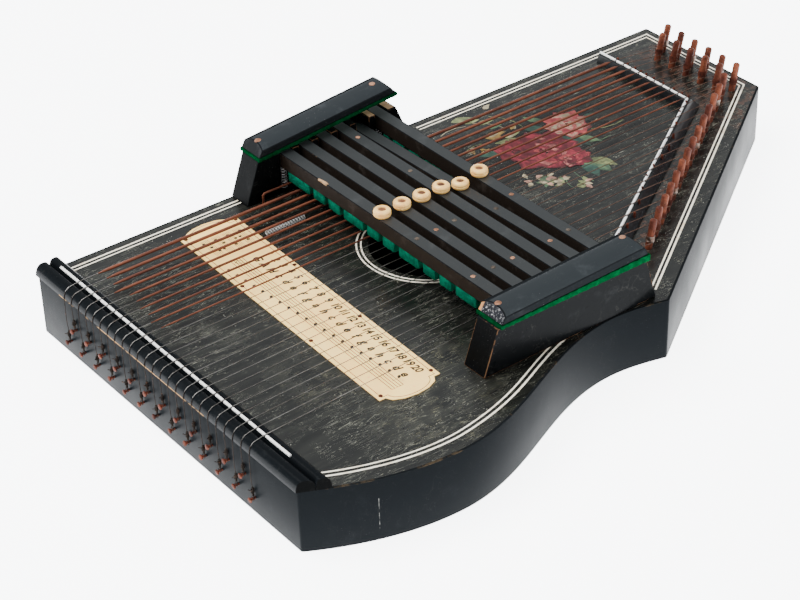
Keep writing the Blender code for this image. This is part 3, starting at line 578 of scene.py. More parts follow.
def loft(bm, sections, slot=0, looped=False):
    """Skin between rings of points; the ends are closed, or the last ring joins the first."""
    rings = [[bm.verts.new(point) for point in section] for section in sections]
    faces = [] if looped else [bm.faces.new(rings[0]), bm.faces.new(rings[-1])]
    pairs = list(zip(rings, rings[1:])) + ([(rings[-1], rings[0])] if looped else [])
    for near, far in pairs:
        for a in range(len(near)):
            b = (a + 1) % len(near)
            faces.append(bm.faces.new((near[a], near[b], far[b], far[a])))
    for face in faces:
        face.material_index = slot


def turned(bm, profile, sides, matrix, slot=0, looped=False):
    """Turn (radius, height) points about z, then place them."""
    loft(bm, [[matrix @ Vector((radius * c, radius * s, height)) for c, s in circle(sides)]
              for radius, height in profile], slot, looped)


def placed(spot, degrees, axis):
    return Matrix.Translation(spot) @ Matrix.Rotation(radians(degrees), 4, axis)


def tube(bm, points, radii, sides):
    """A round tube; its rings are carried along the path without twisting."""
    points = [Vector(point) for point in points]
    if isinstance(radii, float):
        radii = [radii] * len(points)
    side, sections = None, []
    for a, point in enumerate(points):
        along = (points[min(a + 1, len(points) - 1)] - points[max(a - 1, 0)]).normalized()
        if side is None:
            side = along.orthogonal().normalized()
        side = (side - along * side.dot(along)).normalized()
        up = along.cross(side)
        sections.append([point + radii[a] * (side * c + up * s) for c, s in circle(sides)])
    loft(bm, sections)


def helix(centre, axis, start_side, radius, turns, length, steps=14):
    axis, side = Vector(axis).normalized(), Vector(start_side).normalized()
    across = axis.cross(side)
    points = []
    for step in range(int(turns * steps) + 1):
        angle = 2 * pi * step / steps
        lift = axis * (length * step / (turns * steps))
        points.append(Vector(centre) + lift + radius * (side * cos(angle) + across * sin(angle)))
    return points


def bezier(start, handle_a, handle_b, end, steps):
    """Points of a cubic curve, without its last point."""
    points = []
    for step in range(steps):
        t = step / steps
        weights = ((1 - t) ** 3, 3 * t * (1 - t) ** 2, 3 * t * t * (1 - t), t ** 3)
        points.append(tuple(sum(w * c[k] for w, c in zip(weights, (start, handle_a, handle_b, end)))
                            for k in (0, 1)))
    return points


def offset(path, distance, closed=True):
    """The path moved to its left; distance is a number or a function of the point."""
    moved, count = [], len(path)
    for a, here in enumerate(path):
        before, after = path[a - 1], path[(a + 1) % count]
        if not closed and a == 0:
            before = (2 * here[0] - after[0], 2 * here[1] - after[1])
        if not closed and a == count - 1:
            after = (2 * here[0] - before[0], 2 * here[1] - before[1])
        into = Vector((here[0] - before[0], here[1] - before[1])).normalized()
        out = Vector((after[0] - here[0], after[1] - here[1])).normalized()
        normal = Vector((-into.y - out.y, into.x + out.x)).normalized()
        reach = distance(here) if callable(distance) else distance
        share = reach / max(normal.dot(Vector((-into.y, into.x))), 0.25)
        moved.append((here[0] + normal.x * share, here[1] + normal.y * share))
    return moved


def strip(bm, path, width, low, high, slot=0):
    """A flat inlaid line of even width along a path."""
    left, right = offset(path, width / 2, False), offset(path, -width / 2, False)
    loft(bm, [[(*a, low), (*b, low), (*b, high), (*a, high)] for a, b in zip(left, right)], slot)


def round_corner(before, corner, after, radius, steps=4):
    """Points of a small arc in place of a corner."""
    corner = Vector(corner)
    start = corner + (Vector(before) - corner).normalized() * radius
    end = corner + (Vector(after) - corner).normalized() * radius
    points = []
    for step in range(steps + 1):
        t = step / steps
        points.append(tuple((1 - t) ** 2 * start + 2 * t * (1 - t) * corner + t * t * end))
    return points


def new_object(name, bm):
    """An object made from a mesh whose faces are turned outward first."""
    bmesh.ops.recalc_face_normals(bm, faces=bm.faces)
    mesh = bpy.data.meshes.new(name)
    bm.to_mesh(mesh)
    bm.free()
    item = bpy.data.objects.new(name, mesh)
    bpy.context.scene.collection.objects.link(item)
    return item


def round_edges(item, width, segments, slot):
    """Bevel the sharp edges and give the new faces a paint of their own."""
    modifier = item.modifiers.new("bevel", "BEVEL")
    modifier.width = width
    modifier.segments = segments
    modifier.limit_method = "ANGLE"
    modifier.angle_limit = BEVEL_ANGLE
    modifier.material = slot


def piece(name, bm, paints, body=BODY, replaces=(), sharp=35, tilt=Matrix()):
    """Make an object from a mesh in plan coordinates and let it ride on a body."""
    item = new_object(name, bm)
    item.data.shade_smooth()
    item.data.set_sharp_from_angle(angle=radians(sharp))
    for paint in paints if isinstance(paints, list) else [paints]:
        item.data.materials.append(paint)
    item.matrix_world = Matrix.Translation(PLAN) @ tilt
    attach(item, body)
    if replaces:
        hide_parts(*replaces)
    return item


def repaint(node, paint):
    """A CAD node whose shape stays gets a material of its own."""
    slots = frame["nodes"][node].data.materials
    slots.clear()
    slots.append(paint)


# ---- outline of the body
def treble_side_curve():
    swell = bezier((0.0, 0.0), (0.02, -0.012), (0.052, BULGE[1]), BULGE, 24)
    sweep = bezier(BULGE, (BULGE[0] + SIDE_HANDLE, BULGE[1]), (HOLLOW[0] - SIDE_HANDLE, HOLLOW[1]), HOLLOW,
                   36)
    rise = bezier(HOLLOW, (0.242, HOLLOW[1]), (0.255, 0.0105), WAIST, 12)
    return swell + sweep + rise + [WAIST]


CURVE = treble_side_curve()
CORNERS = [WAIST, TOP_END_CORNER, (LENGTH, WIDTH), (0.0, WIDTH), (0.0, 0.0)]
CORNER_ROUND = 0.0012


def body_outline():
    """Anticlockwise from the hitch end's treble corner, with slightly rounded corners."""
    outline = round_corner(CORNERS[3], CORNERS[4], CURVE[1], CORNER_ROUND)
    outline += CURVE[1:-1]
    outline += round_corner(CURVE[-2], WAIST, TOP_END_CORNER, CORNER_ROUND)
    for a in (1, 2, 3):
        outline += round_corner(CORNERS[a - 1], CORNERS[a], CORNERS[a + 1], CORNER_ROUND)
    return outline


def treble_edge(x):
    if x <= 0:
        return 0.0
    for a, b in zip(CURVE, CURVE[1:]):
        if a[0] <= x <= b[0]:
            return a[1] + (b[1] - a[1]) * (x - a[0]) / (b[0] - a[0])
    return WAIST[1]


def along_pin_side(distance, along):
    """A point so far inside the pin side, and so far along it from the waist."""
    run = Vector((TOP_END_CORNER[0] - WAIST[0], TOP_END_CORNER[1] - WAIST[1])).normalized()
    return (WAIST[0] + run.x * along - run.y * distance, WAIST[1] + run.y * along + run.x * distance)


OUTLINE = body_outline()
CASE_EDGE = 0.0003
SHELF = 0.0015                       # how far in the boards' edges lie on the case
RIB = 0.005


def build_case(paints):
    """The sides as one seamless skin, with the two boards let in flush."""
    edge = CASE_EDGE
    profile = [(SHELF, 0.0), (edge, 0.0), (edge * 0.3, edge * 0.3), (0.0, edge), (0.0, HEIGHT - edge),
               (edge * 0.3, HEIGHT - edge * 0.3), (edge, HEIGHT), (SHELF, HEIGHT), (SHELF, HEIGHT - BOARD),
               (RIB, HEIGHT - BOARD), (RIB, BOARD), (SHELF, BOARD)]
    bm = bmesh.new()
    loft(bm, [[(x, y, z) for x, y in offset(OUTLINE, inset)] for inset, z in profile], looped=True)
    for face in bm.faces:
        middle, normal = face.calc_center_median(), face.normal
        on_curve = middle.x < WAIST[0] and middle.y < treble_edge(middle.x) + 0.004
        if middle.z > HEIGHT - edge * 1.2 and abs(normal.z) < 0.99:
            face.material_index = 2 if on_curve else 3
        elif middle.z > HEIGHT - edge * 0.1:
            face.material_index = 5
        elif middle.z < edge and abs(normal.z) < 0.99:
            face.material_index = 3
        elif abs(normal.x) > 0.9 and middle.x < 0.001:
            face.material_index = 1
        elif normal.x > 0.3:
            face.material_index = 4
    sides = ("bass_side", "treble_side", "pin_side", "top_side", "hitch_block")
    looks = [paints[key] for key in ("side", "end", "curve_edge", "edge", "pin_side", "board")]
    piece("case_sides", bm, looks, replaces=sides)

    bm = bmesh.new()
    prism(bm, offset(OUTLINE, SHELF), 0.0, BOARD)
    piece("back_panel", bm, paints["side"], replaces=["back_board"])

    hole_low, hole_high = plan_box("soundboard")
    ring = [(HOLE_CENTRE[0] + HOLE_RADIUS * c, HOLE_CENTRE[1] + HOLE_RADIUS * s) for c, s in circle(72)]
    bm = bmesh.new()
    loops = []
    for level in (hole_low.z, hole_high.z):
        rims = []
        for outline in (offset(OUTLINE, SHELF), ring):
            points = [bm.verts.new((x, y, level)) for x, y in outline]
            rims.append(points)
            for a in range(len(points)):
                bm.edges.new((points[a - 1], points[a]))
        edges = [bm.edges.get((rim[a - 1], rim[a])) for rim in rims for a in range(len(rim))]
        bmesh.ops.triangle_fill(bm, edges=edges, use_beauty=True)
        loops.append(rims)
    for lower, upper in zip(*loops):
        for a in range(len(lower)):
            wall = bm.faces.new((lower[a - 1], lower[a], upper[a], upper[a - 1]))
            wall.material_index = 1 if lower is loops[0][1] else 0
    piece("sound_board", bm, [paints["board"], paints["raw_edge"]], replaces=["soundboard"])


def build_inlay(paints):
    """Two white lines round the body and a double ring round the sound hole."""
    low, high = HEIGHT - 0.0002, HEIGHT + 0.00012
    wide, narrow = INLAY_WIDTHS
    bm = bmesh.new()

    def curve_inset(point):
        share = min(max((point[0] - 0.1) / 0.058, 0.0), 1.0)
        return 0.0105 - 0.0032 * share * share * (3 - 2 * share)

    for step, width in ((0.0, wide), (INLAY_STEP, narrow)):
        path = offset(CURVE, lambda p: curve_inset(p) + step, closed=False)
        strip(bm, [point for point in path if INLAY_START < point[0] < INLAY_CURVE_END], width, low, high)
    for width, bass, top, side, start in zip(INLAY_WIDTHS, INLAY_FROM_BASS, INLAY_FROM_TOP, INLAY_FROM_PINS,
                                             INLAY_PIN_START):
        y = WIDTH - bass
        strip(bm, [(INLAY_START, y), (INLAY_BREAK[0], y)], width, low, high)
        x = LENGTH - top
        run_start, run_far = along_pin_side(side, start), along_pin_side(side, 0.4)
        share = (x - run_start[0]) / (run_far[0] - run_start[0])
        corner = (x, run_start[1] + (run_far[1] - run_start[1]) * share)
        strip(bm, [run_start, corner, (x, y), (INLAY_BREAK[1], y)], width, low, high)
    piece("purfling", bm, paints["purfling"])
    bm = bmesh.new()
    for radius in HOLE_RINGS:
        inner, outer = radius - narrow / 2, radius + narrow / 2
        profile = [(inner, low), (outer, low), (outer, high), (inner, high)]
        turned(bm, profile, 96, Matrix.Translation((*HOLE_CENTRE, 0)), looped=True)
    piece("sound_hole_ring", bm, paints["purfling"])


# ---- hitch rail and rods
def rail_arc(margin, degrees):
    """A point on the rail's half-round part, moved outward by a margin."""
    centre_x, angle = (RAIL_FRONT + RAIL_STEP) / 2, radians(degrees)
    x = centre_x - ((RAIL_STEP - RAIL_FRONT) / 2 + margin) * cos(angle)
    return (x, HEIGHT + (RAIL_CROWN - HEIGHT + margin) * sin(angle))


def build_rail(paints):
    """A half-round moulding and a lower one behind it, grooved for the white rod."""
    middle = (RAIL_FRONT + RAIL_STEP) / 2
    front = [rail_arc(0, degrees) for degrees in range(0, 91, 9)]
    for step in range(1, 11):
        angle = pi / 2 * step / 10
        front.append((middle + (RAIL_STEP - middle) * sin(angle) ** 0.65,
                      HEIGHT + (RAIL_CROWN - HEIGHT) * max(cos(angle), 0.0) ** 0.55))
    bm = bmesh.new()
    loft(bm, [[(x, treble_edge(x), z) for x, z in front], [(x, WIDTH, z) for x, z in front]])
    bm.normal_update()
    for face in bm.faces:
        spot = face.calc_center_median()
        if spot.z < HEIGHT + 0.0004 and spot.x < 0:
            face.material_index = 1
        if abs(face.normal.y) > 0.5 and spot.y < 0.01:
            face.material_index = 2
    piece("hitch_rail_front", bm, [paints["rail"], paints["rail_edge"], paints["rail_end"]],
          replaces=["hitch_rail"])

    bm = bmesh.new()
    block(bm, (RAIL_FRONT - 0.00012, RAIL_FRONT + 0.001), (0.085, WIDTH - 0.027), (HEIGHT, HEIGHT + 0.00055))
    piece("rail_bare_line", bm, paints["rail_edge"])

    start = RAIL_STEP + 0.0002
    centre_x, half, crown = (start + RAIL_BACK) / 2, (RAIL_BACK - start) / 2, RAIL_CROWN - HEIGHT + 0.0004
    round_top = []
    for step in range(25):
        angle = pi * step / 24
        x = centre_x - half * copysign(abs(cos(angle)) ** 0.75, cos(angle))
        round_top.append((x, HEIGHT + crown * max(sin(angle), 0.0) ** 0.62))
    slack = ROD_RADIUS + 0.00015
    floor = STRING_LEVEL - 2 * ROD_RADIUS
    grooved = [(x, min(z, floor)) if abs(x - ROD_X) < slack else (x, z) for x, z in round_top]
    closing = [(RAIL_BACK, HEIGHT), (start, HEIGHT)]
    bm = bmesh.new()
    rows = [(WIDTH, round_top), (ROD_SPAN[1] + 0.0004, round_top), (ROD_SPAN[1] + 0.0003, grooved),
            (ROD_SPAN[0] - 0.0003, grooved), (ROD_SPAN[0] - 0.0004, round_top), (None, round_top)]
    loft(bm, [[(x, treble_edge(x) if y is None else y, z) for x, z in shape + closing] for y, shape in rows])
    bm.normal_update()
    for face in bm.faces:
        if abs(face.normal.y) > 0.5 and face.calc_center_median().y < 0.01:
            face.material_index = 1
    piece("hitch_rail_step", bm, [paints["rail"], paints["rail_end"]], sharp=50)

    bm = bmesh.new()
    lying = placed((ROD_X, 0, STRING_LEVEL - ROD_RADIUS), -90, "X")
    ends = [(ROD_RADIUS * 0.85, ROD_SPAN[0]), (ROD_RADIUS, ROD_SPAN[0] + 0.0002),
            (ROD_RADIUS, ROD_SPAN[1] - 0.0002), (ROD_RADIUS * 0.85, ROD_SPAN[1])]
    turned(bm, ends, 24, lying)
    piece("hitch_rod", bm, paints["hitch_rod"])


def bridge_line(distance):
    """Plan points of the bridge's rod line, moved towards the pins."""
    run = Vector((BRIDGE_X - BRIDGE_TREBLE[0], BRIDGE_CORNER_Y - BRIDGE_TREBLE[1])).normalized()
    mitre = tan(atan2(run.x, run.y) / 2)
    return [(BRIDGE_X + distance, BRIDGE_BASS_Y),
            (BRIDGE_X + distance, BRIDGE_CORNER_Y - distance * mitre),
            (BRIDGE_TREBLE[0] + run.y * distance, BRIDGE_TREBLE[1] - run.x * distance)]


def build_bridge(paints):
    seat = STRING_LEVEL - 1.6 * BRIDGE_ROD_RADIUS
    shape = [(-0.0032, HEIGHT), (-0.0028, HEIGHT + 0.002), (-0.0019, seat - 0.0004), (-0.0014, seat),
             (0.002, seat), (0.0028, seat - 0.0006), (0.0066, HEIGHT + 0.0026), (0.0072, HEIGHT + 0.002),
             (0.0072, HEIGHT)]
    lines = [bridge_line(distance) for distance, _ in shape]
    bm = bmesh.new()
    loft(bm, [[(*line[a], z) for line, (_, z) in zip(lines, shape)] for a in range(3)])
    piece("bridge", bm, paints["bridge"], replaces=["pin_bridge"])

    bm = bmesh.new()
    path = [Vector((*point, STRING_LEVEL - BRIDGE_ROD_RADIUS)) for point in bridge_line(0.0)]
    sections = []
    for a, point in enumerate(path):
        along = (path[min(a + 1, 2)] - path[max(a - 1, 0)]).normalized()
        side = along.cross(UP)
        sections.append([point + BRIDGE_ROD_RADIUS * (side * c + UP * s) for c, s in circle(20)])
    loft(bm, sections)
    piece("bridge_rod", bm, paints["bridge_rod"], replaces=["pin_bridge_rod"])

    bm = bmesh.new()
    for index in range(STRINGS):
        x, y = guide_pin_place(index)
        top = STRING_LEVEL + 0.0006
        profile = [(GUIDE_RADIUS, HEIGHT), (GUIDE_RADIUS, top - 0.0004), (GUIDE_RADIUS * 0.6, top)]
        turned(bm, profile, 10, placed((x, y, 0), 3 * sin(7.3 * index), "X"))
    piece("guide_pins", bm, paints["rust"])


# ---- strings
def at_bridge(index):
    y = FIRST_AT_BRIDGE - PITCH_AT_BRIDGE * index
    if y >= BRIDGE_CORNER_Y:
        return Vector((BRIDGE_X, y))
    share = (BRIDGE_CORNER_Y - y) / (BRIDGE_CORNER_Y - BRIDGE_TREBLE[1])
    return Vector((BRIDGE_X + (BRIDGE_TREBLE[0] - BRIDGE_X) * share, y))


def rod_y(index):
    return FIRST_AT_ROD - PITCH_AT_ROD * index


def pin_frame(index):
    """A tuning pin's own frame, with its foot on the board and z along its leaning axis."""
    joint = joint_named(f"pin_{index + 1:02d}_turn")
    axis = Vector(joint["axis"])
    turn = UP.rotation_difference(axis).to_matrix().to_4x4()
    return Matrix.Translation(Vector(joint["pos_m"]) - PLAN) @ turn


def string_end(index):
    place = pin_frame(index)
    winding = 1 if index == ZIGZAG_PINS - 1 else -1
    height = STRING_END / place.col[2].z
    return place @ Vector((0, winding * (PIN_RADIUS + PLAIN_RADIUS), height))


def string_run(index):
    end = string_end(index)
    return (Vector((end.x, end.y)) - at_bridge(index)).normalized()


def guide_pin_reach(index):
    run = string_run(index)
    out = Vector((1, 0))
    if at_bridge(index).y < BRIDGE_CORNER_Y:
        out = Vector((BRIDGE_CORNER_Y - BRIDGE_TREBLE[1], BRIDGE_TREBLE[0] - BRIDGE_X)).normalized()
    clear = GUIDE_RADIUS + PLAIN_RADIUS
    return (GUIDE_OFFSET - clear * Vector((-run.y, run.x)).dot(out)) / run.dot(out)


def guide_pin_place(index):
    start, run = at_bridge(index), string_run(index)
    clear = GUIDE_RADIUS + PLAIN_RADIUS
    return start + run * guide_pin_reach(index) + clear * Vector((-run.y, run.x))


def string_path(index):
    """From above its hitch pin, round the moulding, over both rods and down to its tuning pin."""
    y, radius = rod_y(index), PLAIN_RADIUS
    row = HITCH_ROWS[index % 2]
    path = [Vector((WIRE_X, y, row + TWIST[1])), Vector((-0.0017, y, row + 0.015))]
    if row + 0.015 > HEIGHT - 0.004:
        path = path[:1]
    path += [Vector((rail_arc(radius, degrees)[0], y, rail_arc(radius, degrees)[1]))
             for degrees in range(-4, 85, 8)]
    level = STRING_LEVEL + radius
    path.append(Vector((ROD_X - 0.0012, y, level - 0.00012)))
    path.append(Vector((ROD_X, y, level)))
    start = at_bridge(index)
    past_bars = min((0.262 - ROD_X) / (start.x - ROD_X), 0.97)
    for share in (0.02, past_bars, 0.98):
        path.append(Vector((ROD_X + (start.x - ROD_X) * share, y + (start.y - y) * share, level)))
    path.append(Vector((*start, level)))
    past = start + string_run(index) * guide_pin_reach(index)
    path.append(Vector((*past, level - 0.0003)))
    path.append(string_end(index))
    return path


def build_strings(paints):
    rng = random.Random(5)
    bm = bmesh.new()
    for index in range(STRINGS):
        before = set(bm.faces)
        tube(bm, string_path(index), PLAIN_RADIUS, 8)
        bridge = at_bridge(index)
        for face in set(bm.faces) - before:
            middle = face.calc_center_median()
            # Down the end face the wire takes a near-black paint, tarnish and painted shade; over the rail a
            # lighter steel, a painted highlight; past the bars a dull brown, rust and painted shade.
            if middle.x < 0.0035 and middle.z < RAIL_CROWN - 0.0015:
                face.material_index = 1
            elif middle.x < ROD_X:
                face.material_index = 3
            elif middle.x > min(bridge.x + 0.001, 0.268):
                face.material_index = 2
    piece("strings", bm, [paints[key] for key in ("string", "tarnished", "dull_string", "bright_string")],
          replaces=["string_set"])

    for index in range(WOUND):
        radius = WOUND_RADIUS[0] + (WOUND_RADIUS[1] - WOUND_RADIUS[0]) * index / (WOUND - 1)
        bridge = at_bridge(index)
        start = WINDING_START + rng.uniform(-0.003, 0.003)
        end = bridge.x - 0.0045 - rng.uniform(0.0, 0.002)
        stops = [(0.0, 0.35), (0.35, 0.6), (0.75, 0.88), (1.0, 1.0)]
        run = [(start + WINDING_TAPER * s, r) for s, r in stops]
        run += [(end - WINDING_TAPER * s * 0.5, r) for s, r in stops[::-1]]
        y, level = rod_y(index), STRING_LEVEL + PLAIN_RADIUS
        points = [(x, y + (bridge.y - y) * (x - ROD_X) / (bridge.x - ROD_X), level) for x, _ in run]
        bm = bmesh.new()
        tube(bm, points, [max(radius * r, PLAIN_RADIUS * 1.15) for _, r in run], 12)
        piece(f"winding_{index + 1:02d}", bm, paints["copper"])


def build_hitch_pins(paints):
    """Bent-over nails in two rows, each with the twisted loop of its string."""
    rng = random.Random(11)
    nails, loops = bmesh.new(), bmesh.new()
    for index in range(STRINGS):
        y, row = rod_y(index), HITCH_ROWS[index % 2]
        droop = -90 + rng.uniform(-6, 6)
        facing = placed((0, y + rng.uniform(-0.0003, 0.0003), row), droop, "Y")
        nail = [(0.0008, -0.004), (0.0008, 0.0026), (0.0015, 0.0029), (0.0017, 0.0034), (0.0014, 0.0038),
                (0.0006, 0.004)]
        turned(nails, nail, 12, facing)
        for side in (-1, 1):
            start, length = (WIRE_X, y, row + TWIST[0]), TWIST[1] - TWIST[0]
            twist = helix(start, UP, (-side, 0, 0), 0.00045, 3.5, length, 10)
            loop = [Vector((x, y + side * LOOP_HALF * share, row + rise)) for x, share, rise in
                    ((-0.0014, 0.2, -0.0012), (-0.0014, 0.85, -0.0006), (-0.0014, 1.0, 0.0003),
                     (-0.0013, 0.75, 0.0013))]
            tube(loops, loop + twist, LOOP_WIRE, 6)
        for turn in range(3):
            start = (WIRE_X, y, row + 0.004 + 0.0009 * turn)
            tube(loops, helix(start, UP, (1, 0, 0), 0.00085, 1.1, 0.0005, 10), LOOP_WIRE, 6)
        away = rng.uniform(0, tau)
        tail = Vector((-0.0008 - 0.0004 * abs(sin(away)), 0.0022 * cos(away),
                       0.0006 * sin(away)))
        foot = Vector((-0.002, y, row + 0.0055))
        tube(loops, [foot, foot + tail * 0.5, foot + tail], LOOP_WIRE * 0.9, 6)
    piece("hitch_pins", nails, paints["rust"])
    # The loops take the near-black wire paint: tarnish and painted shade.
    piece("string_loops", loops, paints["tarnished"])


def build_tuning_pins(paints):
    """Round rusty pins with domed tops, each with the last turns of its string."""
    rng = random.Random(23)
    dome = [(PIN_RADIUS * 0.97, -0.01), (PIN_RADIUS * 0.97, 0.0), (PIN_RADIUS, 0.0012)]
    dome += [(PIN_RADIUS, PIN_HEIGHT * share) for share in (0.3, 0.6, 0.93)]
    dome += [(PIN_RADIUS * cos(t), PIN_HEIGHT * 0.93 + PIN_HEIGHT * 0.07 * sin(t))
             for t in (0.5, 0.95, 1.35)]
    for index in range(STRINGS):
        number = index + 1
        body = f"pin_{number:02d}"
        place = pin_frame(index)
        bm = bmesh.new()
        turned(bm, dome, 20, place)
        piece(f"tuning_pin_wrest_{number:02d}", bm, paints[f"pin_{index % 3}"], body,
              [f"tuning_pin_{number:02d}"])
        height = STRING_END / place.col[2].z
        winding = -1 if index == ZIGZAG_PINS - 1 else 1
        points = []
        for step in range(int(COIL_TURNS * 14) + 1):
            angle = -pi / 2 * winding + winding * 2 * pi * step / 14
            reach = PIN_RADIUS + COIL_WIRE * 0.7 + rng.uniform(0, 0.00006)
            points.append(place @ Vector((reach * cos(angle), reach * sin(angle),
                                          height + COIL_RISE * step / 14)))
        away = points[-1] + (points[-1] - points[-2]).normalized() * 0.0018 + Vector((0, 0, 0.0006))
        bm = bmesh.new()
        tube(bm, points + [away], COIL_WIRE, 6)
        # Every fourth coil takes the brighter glint steel: a painted glint.
        piece(f"pin_coil_{number:02d}", bm, paints["rust" if index % 4 else "glint"], body)


# ---- chord bars
def nail_head(bm, x, y, z, radius, slot=0):
    """A round nail head, slightly domed, with its rim let into the wood."""
    dome = [(radius * 0.98, -0.0006), (radius, 0.0), (radius * 0.9, radius * 0.16),
            (radius * 0.55, radius * 0.3), (radius * 0.12, radius * 0.34)]
    turned(bm, dome, 16, Matrix.Translation((x, y, z)), slot)


def felt_block(bm, x, y, z, rng):
    """A soft-edged pad with slightly ragged faces."""
    cuts_y = max(int((y[1] - y[0]) / 0.0016), 2)
    rows = []
    for a in range(cuts_y + 1):
        where = y[0] + (y[1] - y[0]) * a / cuts_y
        end = 0.00035 if a in (0, cuts_y) else 0.0
        section = [(x[0] + end, z[1]), (x[0] + end, z[0] + 0.0006), (x[0] + 0.0006 + end, z[0] + end),
                   (x[1] - 0.0006 - end, z[0] + end), (x[1] - end, z[0] + 0.0006), (x[1] - end, z[1])]
        rows.append([(px + rng.uniform(-0.00018, 0.00018), where + rng.uniform(-0.0002, 0.0002),
                      pz + (rng.uniform(-0.0002, 0.0002) if pz < z[1] else 0)) for px, pz in section])
    loft(bm, rows)


def ringing(number, string_number):
    """A bar leaves the strings of its own chord free of felt."""
    return (string_number - 3 - (number - 1)) % 7 in (0, 2, 4)


def felt_spans(number, x):
    low, top = FELT_LOW, FELT_TOP_DROPPED if number == DROPPED_BAR else FELT_TOP
    notch, least = 0.0021, 0.003
    spans = []
    for index in range(STRINGS):
        if not ringing(number, index + 1):
            continue
        share = (x - ROD_X) / (at_bridge(index).x - ROD_X)
        y = rod_y(index) + (at_bridge(index).y - rod_y(index)) * share
        if y + notch > top:
            continue
        if top - (y + notch) > least:
            spans.append((y + notch, top))
        top = y - notch
    if top - low > least:
        spans.append((low, top))
    return spans


def bar_tilt(number):
    """The dropped bar leans on its treble end; the others lie level."""
    if number != DROPPED_BAR:
        return Matrix()
    joint = joint_named(f"bar_{number}_tilt")
    pivot = Vector(joint["pos_m"]) - PLAN
    lean = Matrix.Rotation(-radians(joint["range_deg"][1]), 4, "X")
    return Matrix.Translation(pivot) @ lean @ Matrix.Translation(-pivot)


def build_bars(paints):
    low, high = plan_box("chord_bar_1")
    top, bottom = high.z, low.z + BAR_FELT
    for number in range(1, BARS + 1):
        body = f"bar_{number}"
        rng = random.Random(number)
        side_low, side_high = plan_box(f"chord_bar_{number}")
        x = (side_low.x + side_high.x) / 2
        half = (side_high.x - side_low.x) / 2
        tilt = bar_tilt(number)
        bm = bmesh.new()
        block(bm, (x - half, x + half), (low.y, high.y), (bottom, top))
        for face in bm.faces:
            if face.calc_center_median().z > top - 0.0001:
                face.material_index = 1
        wooden = piece(f"bar_{number}_wood", bm, [paints["bar_side"], paints["bar_top"], paints["bar_edge"]],
                       body, [f"chord_bar_{number}"], tilt=tilt)
        round_edges(wooden, 0.0004, 2, 2)
        bm = bmesh.new()
        for span in felt_spans(number, x):
            felt_block(bm, (x - half + 0.0002, x + half - 0.0002), span, (low.z, bottom + 0.0001), rng)
        pads = piece(f"bar_{number}_felts", bm, paints["damper_felt"], body, sharp=60, tilt=tilt)
        bm = bmesh.new()
        for a, y in enumerate(BAR_NAILS[number]):
            nail_head(bm, x, y, top - 0.00015, BAR_NAIL_RADIUS, (number + a) % 2)
        piece(f"bar_{number}_nails", bm, [paints["copper_nail"], paints["dark_nail"]], body,
              tilt=tilt)
        build_button(paints, number, body, x, top, tilt)
        build_springs(paints, number, x, bottom)
    bm = bmesh.new()
    x = plan_box("chord_bar_1")[0].x
    prism(bm, [(x - 0.00004, 0.1985), (x + 0.0011, 0.1978), (x + 0.0016, 0.201), (x + 0.0008, 0.2065),
               (x - 0.00004, 0.2072)], top - 0.0012, top + 0.00006)
    piece("bar_1_chip", bm, paints["bare_wood"], "bar_1")


def build_button(paints, number, body, x, top, tilt):
    """An ivory ring with a groove round its waist, held by a copper nail."""
    r, h = BUTTON_RADIUS, BUTTON_HEIGHT
    profile = [(0.0023, h * 0.4), (0.0024, h * 0.9), (0.0027, h * 0.98), (r * 0.64, h), (r * 0.82, h * 0.93),
               (r * 0.95, h * 0.78), (r, h * 0.6), (r * 0.985, h * 0.5), (r * 0.945, h * 0.46),
               (r * 0.985, h * 0.42), (r, h * 0.32), (r * 0.95, h * 0.1), (r * 0.86, 0.0), (0.0023, 0.0)]
    place = tilt @ Matrix.Translation((x, BUTTON_Y, top + 0.0002))
    bm = bmesh.new()
    turned(bm, profile, 40, place, looped=True)
    piece(f"button_{number}_ring", bm, paints["ivory"], body, [f"button_{number}"], sharp=60)
    bm = bmesh.new()
    dome = [(0.00225, h * 0.3), (0.00225, h * 0.78), (0.0015, h * 0.86), (0.0003, h * 0.88)]
    turned(bm, dome, 20, place)
    piece(f"button_{number}_nail", bm, paints["button_nail"], body)


def build_springs(paints, number, x, bottom):
    """A small coil spring under each end; one of the dropped bar's has jumped out."""
    length = bottom - SPRING_FOOT
    for end, (shift, y) in SPRING_PLACES.items():
        if number == DROPPED_BAR and end == "bass":
            continue
        foot = (x + shift, y, SPRING_FOOT)
        bm = bmesh.new()
        tube(bm, helix(foot, UP, (1, 0, 0), SPRING_RADIUS, SPRING_TURNS, length, 16), SPRING_WIRE, 7)
        spring = piece(f"spring_{number}_{end}", bm, paints["spring"], BODY)
        if number != DROPPED_BAR:
            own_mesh(spring)


